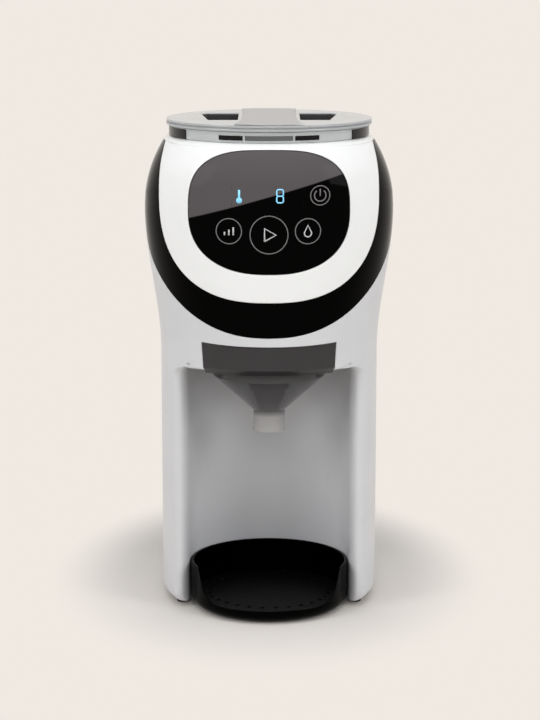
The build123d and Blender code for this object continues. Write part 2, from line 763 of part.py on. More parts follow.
def dosing_wheel():
    """Wheel whose pockets carry powder to the outlet."""
    solid = post(wheel_radius, wheel_z, wheel_top_z, 0, hopper_y)
    solid += post(6, wheel_top_z, nut_z, 0, hopper_y) + post(3, nut_z, nut_z + 6, 0, hopper_y)
    for i in range(pocket_count):
        angle = math.radians(30 + 360 * i / pocket_count)
        solid -= post(pocket_radius, 0, far * 2, outlet_offset * math.cos(angle),
                      hopper_y + outlet_offset * math.sin(angle))
    bore = extrude(RegularPolygon(dog_flats / 2 + slide_gap, 6, major_radius=False), dog_top_z + 1 - wheel_z)
    return solid - Pos(0, hopper_y, wheel_z) * bore


def powder_scraper():
    """Plate that strikes off the pocket over the outlet."""
    tip = hopper_y - throat_radius + hopper_wall + fit_gap
    solid = box(-14, 14, tip, outlet_y + pocket_radius + 4, scraper_z, scraper_z + scraper_thick)
    return solid & post(throat_radius - hopper_wall - fit_gap, 0, far * 2, 0, hopper_y)


def stirring_wheel():
    """Arms that keep the powder loose, turning with the dosing wheel."""
    solid = post(10, stirrer_z, nut_z, 0, hopper_y)
    for i in range(stirrer_arms):
        arm = box(4, wheel_radius, -1.5, 1.5, stirrer_z, stirrer_z + arm_thick)
        arm += box(wheel_radius - 12, wheel_radius - 9, -1.5, 1.5, stirrer_z, stirrer_z + 10)
        solid += Pos(0, hopper_y, 0) * Rot(0, 0, 360 * i / stirrer_arms) * arm
    return solid - post(6 + shaft_gap, 0, far * 2, 0, hopper_y)


def stirrer_nut():
    return tube(8, 3 + shaft_gap, nut_z, nut_z + 5, 0, hopper_y)


def lid_seal():
    return tube(seal_radius, plug_radius + slide_gap, seal_low_z, rim_top_z, 0, hopper_y)


def recess(grow=0.0):
    """D-shaped finger recess on the right of the grip, in plan."""
    back, front = hopper_y + recess_back + grow, hopper_y - recess_front - grow
    corners = [(recess_inner_x - grow, back), (recess_outer_back + grow, back),
               (recess_outer_front + grow, front), (recess_inner_x - grow, front)]
    plate = make_face(Polyline(*corners, close=True))
    solid = Pos(0, 0, -far) * extrude(plate, far * 3)
    return solid & post(recess_radius + grow, -far, far * 2, 0, hopper_y)


def hopper_lid():
    """Clear lid with a plug ring below and a deep finger recess on each side of its grip."""
    solid = post(lid_radius, lid_low_z, lid_top_z, 0, hopper_y)
    solid += tube(plug_radius, plug_radius - plug_wall, plug_low_z, lid_low_z + 0.5, 0, hopper_y)
    cup = recess(recess_wall) & box(-far, far, -far, far, lid_low_z - recess_depth, lid_top_z)
    hollow = recess() & box(-far, far, -far, far, lid_low_z - recess_depth + recess_wall, lid_top_z + 1)
    solid += mirrored(cup)
    solid -= mirrored(hollow)
    groove_z = (lid_low_z + lid_top_z) / 2
    return solid - tube(lid_radius + 1, lid_radius - 0.6, groove_z - 0.3, groove_z + 0.3, 0, hopper_y)


def lid_grip():
    """Waisted band across the lid."""
    reach = lid_radius - 1.0
    side = [(grip_front, -reach), (grip_waist, grip_waist_back), (grip_back, reach)]
    right = Spline(*side, tangents=[(-0.2, 1), (0.08, 1)])
    left = Spline(*[(-x, y) for x, y in reversed(side)], tangents=[(0.08, -1), (-0.2, -1)])
    outline = right + Line((grip_back, reach), (-grip_back, reach)) + left
    outline += Line((-grip_front, -reach), (grip_front, -reach))
    band = Pos(0, hopper_y, lid_top_z) * extrude(make_face(outline), grip_thick)
    return band & post(reach, lid_top_z, lid_top_z + 10, 0, hopper_y)


# ---------------------------------------------------------------- funnel, tray and their places
def funnel_housing():
    """Channel over the bay's ceiling that the funnel slides in."""
    front, back = housing_front_y, housing_rear_y
    solid = box(-housing_half, housing_half, front, back, ceiling_top_z, roof_z + housing_wall)
    inner = housing_half - housing_wall
    solid -= box(-inner, inner, front - 1, back - housing_wall, ceiling_top_z - 1, roof_z)
    solid -= post(chute_radius + run_gap, 0, far * 2, 0, outlet_y)
    return solid - post(barb_radius + 3, 0, far * 2, spout_x, spout_y)


def mixing_funnel():
    """Drawer front, flange, collar, cone and nozzle in one piece."""
    w = funnel_wall
    solid = turned([
        (funnel_radius + w, collar_top_z), (funnel_radius + w, funnel_shoulder_z),
        (nozzle_radius, funnel_throat_z), (nozzle_radius, nozzle_end_z),
        (nozzle_radius - w, nozzle_end_z), (nozzle_radius - w, funnel_throat_z + 0.6),
        (funnel_radius, funnel_shoulder_z + 0.9), (funnel_radius, collar_top_z)], 0, bay_y)
    inside = post(drawer_front_radius - drawer_thick + 0.5, flange_z, flange_z + wall, 0, drawer_front_y)
    flange = box(-flange_half, flange_half, -far, flange_rear_y, flange_z, flange_z + wall)
    solid += (flange & inside) - post(funnel_radius + 0.5, 0, far, 0, bay_y)
    r = drawer_front_radius
    t = drawer_thick
    high_z = drawer_top_z + drawer_top_rise + 1
    front = turned([(r, high_z), (r, drawer_bend_z), (r - 3.5, drawer_low_z),
                    (r - 3.5 - t, drawer_low_z), (r - t, drawer_bend_z), (r - t, high_z)],
                   0, drawer_front_y)
    return solid + (front & forward_prism(drawer_outline(), bay_y))


def funnel_cover():
    """Cover of the funnel, with an inlet for powder and one for water."""
    solid = post(funnel_radius + 2.5, collar_top_z + slide_gap, collar_top_z + slide_gap + 1.7, 0, bay_y)
    solid += tube(funnel_radius - slide_gap, funnel_radius - slide_gap - 1.5, collar_top_z - 3,
                  collar_top_z + slide_gap + 0.5, 0, bay_y)
    solid -= post(chute_radius - chute_wall + 0.7, 0, far * 2, 0, outlet_y)
    return solid - post(barb_radius + 2.8, 0, far * 2, spout_x, spout_y)


def tray_rim():
    """Everything above the low part of the tray's front rim, as an X-Z prism."""
    top = tray_height + 5
    edges = Line((-tray_dip_x, tray_front_z), (tray_dip_x, tray_front_z))
    edges += Spline((tray_dip_x, tray_front_z), (tray_high_x, tray_height), tangents=[(1, 0), (0.25, 1)])
    edges += Line((tray_high_x, tray_height), (tray_high_x, top))
    edges += Line((tray_high_x, top), (-tray_high_x, top))
    edges += Line((-tray_high_x, top), (-tray_high_x, tray_height))
    edges += Spline((-tray_high_x, tray_height), (-tray_dip_x, tray_front_z), tangents=[(0.25, -1), (1, 0)])
    return forward_prism(make_face(Plane.XZ * edges), bay_y)


def drip_tray():
    """Round tray: high wall at the back and sides, low in front, a trough under the front half."""
    r = tray_radius
    turn = [(r - tray_round * (1 - math.sin(a)), tray_low_z + tray_round * (1 - math.cos(a)))
            for a in [math.radians(15 * i) for i in range(7)]]
    solid = turned([(0, tray_low_z)] + turn + [(r, tray_height), (0, tray_height)], 0, bay_y)
    under = post(tongue_radius + 1, -1, tray_floor_z, 0, bay_y)
    solid -= under + box(-far, far, bay_y, far, -1, tray_floor_z)
    solid -= post(r - tray_wall, tray_floor_z + tray_floor, far, 0, bay_y)
    trough = tube(r - tray_wall - 1.5, tongue_radius + 2.2, tray_low_z + 1.2, tray_floor_z + 2, 0, bay_y)
    solid -= trough & box(-far, far, -far, bay_y - 1.5, -1, far)
    return solid - tray_rim()


def drip_grate():
    """Round plate with a ring of drain holes."""
    solid = post(tray_radius - tray_wall - 0.5, grate_low_z, grate_top_z, 0, bay_y)
    for i in range(drain_count):
        angle = 2 * math.pi * (i + 0.5) / drain_count - math.pi / 2
        solid -= post(drain_radius, 0, far, drain_ring_radius * math.cos(angle),
                      bay_y + drain_ring_radius * math.sin(angle))
    return solid


# ---------------------------------------------------------------- water side
def water_tank():
    """Clear tank behind the machine, with hinge ears, a float channel and a hole for its valve."""
    t = tank_wall
    solid = rounded_plate(tank_half, tank_front_y, tank_back_y, tank_low_z, tank_top_z, 4, tank_corner)
    solid -= rounded_plate(tank_half - t, tank_front_y + t, tank_back_y - t, tank_low_z + t,
                           tank_top_z + 1, 2, tank_corner - t)
    solid += box(-tank_half + 1, tank_half - 1, tank_front_y + 1, hinge_y + hinge_radius + 0.3,
                 tank_top_z - t, tank_top_z)
    solid -= post(valve_radius + fit_gap, 0, 60, 0, valve_y)
    for side in (-1, 1):
        x = side * hinge_x
        solid += box(x - 3, x + 3, hinge_y - hinge_radius, hinge_y + hinge_radius, tank_top_z - 2, hinge_z)
        solid += rod(hinge_radius, (x - 3, hinge_y, hinge_z), (x + 3, hinge_y, hinge_z))
        rib = float_x + side * (float_size / 2 + 1.4)
        solid += box(rib - 0.6, rib + 0.6, tank_front_y + 1, tank_front_y + 15, tank_low_z + 1, tank_top_z - 22)
    return solid - rod(hinge_pin_radius + shaft_gap, (-far, hinge_y, hinge_z), (far, hinge_y, hinge_z))


def tank_lid():
    """Hinged lid of the tank, with a rim that drops inside it."""
    t = tank_wall
    low = tank_top_z + slide_gap
    front = hinge_y + hinge_radius + 0.9
    solid = rounded_plate(tank_half, front, tank_back_y, low, low + tank_lid_thick, 2, tank_corner)
    rim = rounded_plate(tank_half - t - 1, front + 2, tank_back_y - t - 1, tank_top_z - 3, low + 0.5,
                        2, tank_corner - t - 1)
    rim -= rounded_plate(tank_half - t - 2.5, front + 3.5, tank_back_y - t - 2.5, tank_top_z - 4,
                         low + 1, 1, tank_corner - t - 2.5)
    solid += rim
    for side in (-1, 1):
        x = side * (hinge_x - 3 - slide_gap - 2.5)
        solid += rod(hinge_radius, (x - 2.5, hinge_y, hinge_z), (x + 2.5, hinge_y, hinge_z))
        solid += box(x - 2.5, x + 2.5, hinge_y, front + 4, low + 0.4, low + tank_lid_thick)
    return solid - rod(hinge_pin_radius + shaft_gap, (-far, hinge_y, hinge_z), (far, hinge_y, hinge_z))


def tank_hinge_pin():
    reach = hinge_x + 4
    return rod(hinge_pin_radius, (-reach, hinge_y, hinge_z), (reach, hinge_y, hinge_z))


valve_low_z = shelf_top_z - 8.0
valve_floor_z = tank_low_z + tank_wall
spider_z = valve_floor_z + 3.0
poppet_z = valve_low_z + 2.0


def tank_valve():
    """Valve tube through the tank's floor, with a lip for the poppet and a bridge for its stem."""
    r = valve_radius
    solid = turned([
        (4.5, valve_low_z), (r, valve_low_z), (r, valve_floor_z), (r + 2.5, valve_floor_z),
        (r + 2.5, valve_floor_z + 1.8), (r, valve_floor_z + 1.8), (r, spider_z + 1.4), (r - 2, spider_z + 1.4),
        (r - 2, valve_low_z + 1.6), (4.5, valve_low_z + 1.6)], 0, valve_y)
    solid += box(-r + 1, r - 1, valve_y - 1.8, valve_y + 1.8, spider_z, spider_z + 1.4)
    solid += box(-1.8, 1.8, valve_y - r + 1, valve_y + r - 1, spider_z, spider_z + 1.4)
    return solid - post(2 + shaft_gap, spider_z - 1, spider_z + 3, 0, valve_y)


def tank_valve_poppet():
    solid = post(poppet_radius, poppet_z, poppet_z + 2, 0, valve_y)
    return solid + post(2, poppet_z + 2, spider_z + 5, 0, valve_y)


def tank_valve_spring():
    """Compression spring between the poppet and the bridge."""
    low = poppet_z + 2 + 0.55
    coils = Helix(pitch=(spider_z - low - 0.55) / 4, height=spider_z - low - 0.55, radius=3.6)
    wire = Plane(origin=coils @ 0, z_dir=coils % 0) * Circle(0.4)
    return Pos(0, valve_y, low) * sweep(wire, path=coils, is_frenet=True)


def tank_valve_seal():
    return tube(seat_bore - slide_gap, valve_radius + shaft_gap, valve_low_z + 1, valve_low_z + 4, 0, valve_y)


def tank_seat():
    """Cup under the shelf that the tank's valve plugs into, with the pin that opens it."""
    solid = turned([(0, seat_low_z), (seat_radius, seat_low_z), (seat_radius, shelf_top_z - wall - 1.8),
                    (seat_radius + 3.8, shelf_top_z - wall - 1.8),
                    (seat_radius + 3.8, shelf_top_z - wall - seat_gap),
                    (seat_radius, shelf_top_z - wall - seat_gap), (seat_radius, shelf_top_z - 0.2),
                    (seat_bore, shelf_top_z - 0.2), (seat_bore, seat_low_z + 2), (0, seat_low_z + 2)],
                   0, valve_y)
    solid += post(2.2, seat_low_z + 1, poppet_z - seat_gap, 0, valve_y)
    front = valve_y - seat_radius
    solid += rod(barb_radius, (0, front + 1, hose_z), (0, front - 8, hose_z))
    return solid - rod(barb_radius - 0.8, (0, front + 4, hose_z), (0, front - 9, hose_z))


def tank_float():
    """Float with a magnet, held in its channel."""
    half = float_size / 2
    y = tank_front_y + tank_wall + 0.8
    return box(float_x - half, float_x + half, y, y + float_size, tank_low_z + tank_wall + 0.5,
               tank_low_z + tank_wall + 12.5)


def tank_sensor():
    """Level sensor on the rear wall, facing the float."""
    return box(float_x - 6, float_x + 6, rear_y - wall - 5, rear_y - wall, tank_low_z + 0.5, tank_low_z + 10)


def pump():
    """Horizontal pump with a barb at the back and one on top."""
    solid = rod(pump_radius, (pump_x, pump_front_y, hose_z), (pump_x, pump_rear_y, hose_z))
    solid += rod(barb_radius, (pump_x, pump_rear_y - 1, hose_z), (pump_x, pump_rear_y + 5, hose_z))
    top = hose_z + pump_radius
    return solid + post(barb_radius, top - 1, top + 7, pump_x, heater_y)


def pump_mounts():
    """Two rubber saddles on the floor."""
    solids = []
    for y in (pump_front_y + 4, pump_rear_y - 8):
        saddle = box(pump_x - 11, pump_x + 11, y, y + 4, pan_top_z, hose_z - 5)
        saddle -= rod(pump_radius + shaft_gap, (pump_x, 0, hose_z), (pump_x, far, hose_z))
        solids.append(saddle.solid())
    return Compound(solids)


def heater():
    """Upright flow heater with a barb at its side and one on top."""
    solid = post(heater_radius, heater_low_z, heater_top_z, heater_x, heater_y)
    solid += post(barb_radius, heater_top_z - 1, heater_top_z + 8, heater_x, heater_y)
    inlet = heater_x - heater_radius
    return solid + rod(barb_radius, (inlet + 1, heater_y, heater_inlet_z), (inlet - 7, heater_y, heater_inlet_z))


def heater_stand():
    """Ring that holds the heater off the floor."""
    solid = tube(heater_radius, heater_radius - 3, pan_top_z, heater_low_z, heater_x, heater_y)
    return solid + tube(heater_radius + 3, heater_radius - 3, pan_top_z, pan_top_z + 2, heater_x, heater_y)


def thermal_fuse():
    y = heater_y - heater_radius - shaft_gap
    middle_z = (heater_low_z + heater_top_z) / 2
    return box(heater_x - 5, heater_x + 5, y - 3.5, y, middle_z, middle_z + 14)


def hose(points, radii):
    """Hose along straight runs and arcs."""
    path = FilletPolyline(*points, radius=radii)
    start = Plane(origin=path @ 0, z_dir=path % 0)
    return sweep(start * Circle(hose_radius), path=path) - sweep(start * Circle(hose_bore), path=path)


seat_face_y = valve_y - seat_radius
pump_top_z = hose_z + pump_radius
heater_face_x = heater_x - heater_radius
spout_top_z = roof_z + housing_wall + 4.0


def inlet_hose():
    """From the tank's seat to the pump."""
    turn_y = rear_y - 8.5
    return hose([(0, seat_face_y - fit_gap, hose_z), (0, turn_y, hose_z), (pump_x, turn_y, hose_z),
                 (pump_x, pump_rear_y + fit_gap, hose_z)], [8, 8])


def pressure_hose():
    """From the pump to the heater."""
    return hose([(pump_x, heater_y, pump_top_z + fit_gap), (pump_x, heater_y, heater_inlet_z),
                 (heater_face_x - fit_gap, heater_y, heater_inlet_z)], [12])


def outlet_hose():
    """From the heater up and forward to the spout."""
    return hose([(heater_x, heater_y, heater_top_z + fit_gap), (heater_x, heater_y, chassis_z - 14),
                 (heater_x, spout_y + 18, chassis_z - 14), (spout_x, spout_y, chassis_z - 14),
                 (spout_x, spout_y, spout_top_z + fit_gap)], [14, 14, 8])


def hose_clips():
    """Spring clips over the hose ends."""
    inner, outer = hose_radius + shaft_gap, hose_radius + 1.0
    ends = [((0, seat_face_y - 2, hose_z), (0, seat_face_y - 5, hose_z)),
            ((pump_x, heater_y, pump_top_z + 2), (pump_x, heater_y, pump_top_z + 5)),
            ((heater_face_x - 2, heater_y, heater_inlet_z), (heater_face_x - 5, heater_y, heater_inlet_z)),
            ((heater_x, heater_y, heater_top_z + 2), (heater_x, heater_y, heater_top_z + 5))]
    return Compound([pipe(outer, inner, start, end).solid() for start, end in ends])


def water_spout():
    """Spout through the roof of the funnel's channel."""
    solid = post(barb_radius + 1.8, roof_z - 2.5, spout_top_z, spout_x, spout_y)
    solid += post(barb_radius + 5.8, roof_z + housing_wall, roof_z + housing_wall + 1.5, spout_x, spout_y)
    solid += post(barb_radius, spout_top_z, spout_top_z + 6, spout_x, spout_y)
    return solid - post(barb_radius - 0.8, 0, far * 2, spout_x, spout_y)


def power_board():
    """Mains board on posts from the rear wall, with its largest parts."""
    front = board_rear_y - board_thick
    solid = box(-30, 30, front, board_rear_y, 70, 150)
    solid += box(-24, -2, front - 10, front, 80, 104) + box(-22, -8, front - 9, front, 120, 138)
    return solid + rod(6, (14, front - 10, 90), (14, front, 90)) + rod(6, (14, front - 10, 110), (14, front, 110))


def cord_gland():
    """Strain relief in the back of the shelf."""
    solid = pipe(gland_radius, gland_bore, (gland_x, shelf_back_y - 8, gland_z), (gland_x, shelf_back_y, gland_z))
    return solid + pipe(gland_flange, gland_bore, (gland_x, shelf_back_y, gland_z), (gland_x, tank_back_y, gland_z))


def funnel_sensor():
    """Switch that feels whether the funnel is in."""
    return box(-8, 8, housing_rear_y, housing_rear_y + 6, ceiling_top_z + 2, ceiling_top_z + 10)


# ---------------------------------------------------------------- all pieces
pieces = [
    front_shell, rear_shell, tank_shelf, top_deck, base_pan, shelf_cover, feet, case_screws, head_ring, bezel,
    touch_panel, display_module, control_board, touch_pads, hopper_well, chassis_plate, drive_screws,
    shaft_bush, drive_shaft, drive_gear, motor_pinion, gear_motor, powder_chute, funnel_housing,
    powder_hopper, hopper_base, dosing_wheel, powder_scraper, stirring_wheel, stirrer_nut, lid_seal,
    hopper_lid, lid_grip, mixing_funnel, funnel_cover, drip_tray, drip_grate, water_tank, tank_lid,
    tank_hinge_pin, tank_valve, tank_valve_poppet, tank_valve_spring, tank_valve_seal, tank_seat,
    tank_float, tank_sensor, pump, pump_mounts, heater, heater_stand, thermal_fuse, inlet_hose,
    pressure_hose, outlet_hose, hose_clips, water_spout, power_board, cord_gland, funnel_sensor]

os.makedirs("parts", exist_ok=True)
for piece in pieces:
    export_step(piece(), f"parts/{piece.__name__}.step")
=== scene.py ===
# Baby formula maker: smooth shells, finishes, printed signs and a small studio round the frame.
import bpy
import bmesh
import json
import math
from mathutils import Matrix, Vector


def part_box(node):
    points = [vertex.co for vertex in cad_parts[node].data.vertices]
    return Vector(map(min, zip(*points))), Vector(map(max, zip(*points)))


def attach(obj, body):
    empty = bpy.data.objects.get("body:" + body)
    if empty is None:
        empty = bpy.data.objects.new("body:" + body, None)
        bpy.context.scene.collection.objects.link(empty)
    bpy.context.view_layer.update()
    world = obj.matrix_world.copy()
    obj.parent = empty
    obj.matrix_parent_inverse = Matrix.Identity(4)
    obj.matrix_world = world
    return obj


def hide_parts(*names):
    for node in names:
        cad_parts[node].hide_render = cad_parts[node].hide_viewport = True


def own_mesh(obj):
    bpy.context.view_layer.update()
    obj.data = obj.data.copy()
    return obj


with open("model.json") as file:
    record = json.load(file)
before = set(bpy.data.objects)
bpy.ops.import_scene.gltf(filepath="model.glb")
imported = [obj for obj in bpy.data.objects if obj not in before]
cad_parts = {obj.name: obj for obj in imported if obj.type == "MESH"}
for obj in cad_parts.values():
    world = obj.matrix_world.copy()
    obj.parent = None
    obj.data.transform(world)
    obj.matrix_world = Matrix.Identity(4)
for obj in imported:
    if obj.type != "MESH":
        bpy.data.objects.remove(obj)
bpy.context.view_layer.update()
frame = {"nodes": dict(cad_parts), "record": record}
nodes = frame["nodes"]
scene = bpy.context.scene
mm = 0.001


# what a few frame pieces measure, in millimetres
def nodeBox(node):
    low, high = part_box(node)
    return [c / mm for c in low], [c / mm for c in high]


ringHigh = nodeBox("head_ring")[1]
rearLow, rearHigh = nodeBox("rear_shell")
deckHigh = nodeBox("top_deck")[1]
shelfLow, shelfHigh = nodeBox("tank_shelf")
hopperLow, hopperHigh = nodeBox("powder_hopper")

# the outer skin, in millimetres: the same formulas as the solids
skin = {
    "bodyHalf": 67.6, "headHalf": ringHigh[0], "shoulderDrop": 13.5,
    "bodyReach": 73.0, "headReach": 75.0, "deckSetback": 9.0, "frontPower": 2.25,
    "hopperY": (hopperLow[1] + hopperHigh[1]) / 2, "rearY": rearHigh[1], "rearHalf": 67.5,
    "rearDraw": 6.0, "rearCorner": 24.0, "baseZ": rearLow[2], "flareZ": 159.4, "headZ": 247.0,
    "deckZ": deckHigh[2], "capZ": ringHigh[2], "baseRound": 7.0, "deckRound": 3.0, "wall": 2.4,
    "ringZ": 176.4, "ringSlope": 0.86, "seamY": -71.0, "shoulderPower": 2.15, "setbackPower": 6,
}
bay = {"y": -68.0, "radius": 49.6, "ceilingZ": 155.0, "noseRound": 5.4, "slotHalf": 38.0,
       "slotFrontY": -90.0, "drawerHalf": 40.8, "drawerTaper": 1.0, "drawerTopZ": 170.9,
       "drawerRise": 1.4, "cornerRound": 8.0, "browRound": 1.8}
shield = {"half": 66.2, "lean": 2.2, "overDeck": 2, "midZ": 262.0, "lowZ": 198.0, "power": 2.6, "proud": 2.0}
glass = {"half": 48.0, "midZ": 252.0, "lowRise": 37.0, "highRise": 36.4, "lowPower": 2.42,
         "highPower": 2.9, "sink": 0.4, "gap": 0.2}


def stepUp(t):  # smooth rise from 0 to 1
    t = min(max(t, 0.0), 1.0)
    return t * t * (3 - 2 * t)


def between(a, b, t):
    return a + (b - a) * t


def spread(a, b, count):  # count + 1 even values
    return [between(a, b, i / count) for i in range(count + 1)]


def halfWidth(z):
    if z <= skin["headZ"]:
        rise = stepUp((z - skin["flareZ"]) / (skin["headZ"] - skin["flareZ"]))
        return between(skin["bodyHalf"], skin["headHalf"], rise)
    up = (z - skin["headZ"]) / (skin["deckZ"] - skin["headZ"])
    return skin["headHalf"] - skin["shoulderDrop"] * up ** skin["shoulderPower"]


def frontReach(z):
    if z <= skin["headZ"]:
        rise = stepUp((z - skin["flareZ"]) / (skin["headZ"] - skin["flareZ"]))
        return between(skin["bodyReach"], skin["headReach"], rise)
    up = (z - skin["headZ"]) / (skin["deckZ"] - skin["headZ"])
    return skin["headReach"] - skin["deckSetback"] * up ** skin["setbackPower"]


def edgeDraw(z):  # how far the skin draws in where it rounds over at the deck and at the base
    for past, r in ((z - (skin["deckZ"] - skin["deckRound"]), skin["deckRound"]),
                    (skin["baseZ"] + skin["baseRound"] - z, skin["baseRound"])):
        if past > 0:
            return r * (1 - math.sqrt(max(0.0, 1 - (past / r) ** 2)))
    return 0.0


def baseHeights(steps=7):  # rows that follow the rounded edge at the base
    return [skin["baseZ"] + skin["baseRound"] * (1 - math.cos(a)) for a in spread(0, math.pi / 2, steps)]


# A place on the skin. Turn is 0 at the middle of the front, 1 at the side, 1.5 where the rear corner
# starts, 1.75 where it ends and 2 at the middle of the back, and negative on the other side.
def skinPoint(turn, z, grow=0.0):
    grow -= edgeDraw(z)
    a, b = halfWidth(z) + grow, frontReach(z) + grow
    sign, size = (1 if turn >= 0 else -1), abs(turn)
    if size <= 1:
        angle = size * math.pi / 2
        share = 2 / skin["frontPower"]
        x = a * math.sin(angle) ** share
        y = skin["hopperY"] - b * max(math.cos(angle), 0.0) ** share
        return (sign * x, y, z)
    back, corner = skin["rearY"] + grow, skin["rearCorner"] + grow
    up = (z - skin["headZ"]) / (skin["deckZ"] - skin["headZ"])
    side = skin["rearHalf"] + grow - skin["rearDraw"] * stepUp(up)
    t = size - 1
    if t <= 0.5:
        return (sign * between(a, side, stepUp(t * 2)), between(skin["hopperY"], back - corner, t * 2), z)
    if t <= 0.75:
        angle = (t - 0.5) * 4 * math.pi / 2
        return (sign * (side - corner + corner * math.cos(angle)),
                back - corner + corner * math.sin(angle), z)
    return (sign * between(side - corner, 0.0, (t - 0.75) * 4), back, z)


def slantZ(y):  # lower edge of the head ring
    return skin["ringZ"] + skin["ringSlope"] * (y + skin["bodyReach"] - skin["hopperY"])


def slantOn(turn):  # its height at a place on the skin, which settles in a few steps from any start
    z, steps = 200.0, 8
    for _ in range(steps):
        z = slantZ(skinPoint(turn, z)[1])
    return min(z, skin["capZ"])


def seamTurn(z, grow=0.0):  # where the front and rear shells meet
    reach = frontReach(z) + grow - edgeDraw(z)
    share = (skin["hopperY"] - skin["seamY"]) / reach
    return math.acos(share ** (skin["frontPower"] / 2)) * 2 / math.pi


def turnAtX(x, z, grow=0.0):
    share = min(abs(x) / (halfWidth(z) + grow - edgeDraw(z)), 1.0)
    return math.copysign(math.asin(share ** (skin["frontPower"] / 2)) * 2 / math.pi, x)


def onFront(x, z, grow=0.0):  # the skin straight ahead of x and z
    return skinPoint(turnAtX(x, z, grow), z, grow)


slantEndY = (skin["capZ"] - skin["ringZ"]) / skin["ringSlope"] - skin["bodyReach"] + skin["hopperY"]
sideEndY = skin["rearY"] - skin["rearCorner"]
slantEndTurn = 1.5 - 0.5 * (sideEndY - slantEndY) / (sideEndY - skin["hopperY"])


# meshes
def gridFaces(rows, columns, start=0, closed=False, skip=None):
    faces = []
    for row in range(rows - 1):
        for column in range(columns if closed else columns - 1):
            if skip and skip(row, column):
                continue
            after = (column + 1) % columns
            faces.append((start + row * columns + column, start + row * columns + after,
                          start + (row + 1) * columns + after, start + (row + 1) * columns + column))
    return faces


def addPiece(name, points, faces, material, body="casing", standsFor=(), away=None):
    mesh = bpy.data.meshes.new(name)
    mesh.from_pydata([tuple(c * mm for c in p) for p in points], [], faces)
    shape = bmesh.new()
    shape.from_mesh(mesh)
    bmesh.ops.remove_doubles(shape, verts=shape.verts, dist=0.01 * mm)
    loose = [v for v in shape.verts if not v.link_faces]
    bmesh.ops.delete(shape, geom=loose, context="VERTS")
    bmesh.ops.recalc_face_normals(shape, faces=shape.faces)
    if away:  # an open surface: its outside faces away from this point
        middle = Vector([c * mm for c in away])
        lean = sum(f.normal.dot(f.calc_center_median() - middle) * f.calc_area() for f in shape.faces)
        if lean < 0:
            bmesh.ops.reverse_faces(shape, faces=shape.faces)
    shape.to_mesh(mesh)
    shape.free()
    mesh.polygons.foreach_set("use_smooth", [True] * len(mesh.polygons))
    mesh.materials.append(material)
    piece = bpy.data.objects.new(name, mesh)
    scene.collection.objects.link(piece)
    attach(piece, body)
    if standsFor:
        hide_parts(*standsFor)
    return piece


def thicken(piece, thick, edge, steps=3, angle=40):
    solid = piece.modifiers.new("wall", "SOLIDIFY")
    solid.thickness = thick * mm
    solid.offset = -1
    solid.use_even_offset = False
    softenEdges(piece, edge, steps, angle)


def softenEdges(piece, edge, steps=2, angle=40):
    if edge:
        bevel = piece.modifiers.new("edges", "BEVEL")
        bevel.width = edge * mm
        bevel.segments = steps
        bevel.limit_method = "ANGLE"
        bevel.angle_limit = math.radians(angle)
        bevel.use_clamp_overlap = False
        bevel.miter_outer = "MITER_ARC"
    smooth = piece.modifiers.new("normals", "WEIGHTED_NORMAL")
    smooth.keep_sharp = True
    smooth.weight = 70


def cutAway(piece, corners):  # boxes taken out of a piece, given by their corners in millimetres
    points, faces = [], []
    for low, high in corners:
        start = len(points)
        points += [(x * mm, y * mm, z * mm) for x in (low[0], high[0]) for y in (low[1], high[1])
                   for z in (low[2], high[2])]
        faces += [tuple(start + i for i in side) for side in
                  ((0, 1, 3, 2), (4, 6, 7, 5), (0, 4, 5, 1), (2, 3, 7, 6), (0, 2, 6, 4), (1, 5, 7, 3))]
    mesh = bpy.data.meshes.new("cutter")
    mesh.from_pydata(points, [], faces)
    cutter = bpy.data.objects.new("cutter", mesh)
    scene.collection.objects.link(cutter)
    cut = piece.modifiers.new("cut", "BOOLEAN")
    cut.operation = "DIFFERENCE"
    cut.solver = "EXACT"
    cut.object = cutter
    bpy.context.view_layer.update()
    result = bpy.data.meshes.new_from_object(piece.evaluated_get(bpy.context.evaluated_depsgraph_get()))
    piece.modifiers.clear()
    piece.data = result
    bpy.data.objects.remove(cutter)


# finishes
def linearOf(hexColour):  # sRGB hex to linear
    channels = [int(hexColour[i:i + 2], 16) / 255 for i in (1, 3, 5)]
    return tuple(c / 12.92 if c <= 0.04045 else ((c + 0.055) / 1.055) ** 2.4 for c in channels) + (1.0,)


def addNode(tree, kind, settings=None, **links):  # a node, its settings, and its inputs by name
    node = tree.nodes.new(kind)
    for key, value in (settings or {}).items():
        setattr(node, key, value)
    for key, value in links.items():
        numbered = key[0] == "n" and key[1:].isdigit()
        socket = node.inputs[int(key[1:]) if numbered else key.replace("_", " ")]
        if isinstance(value, bpy.types.NodeSocket):
            tree.links.new(value, socket)
        else:
            socket.default_value = value
    return node


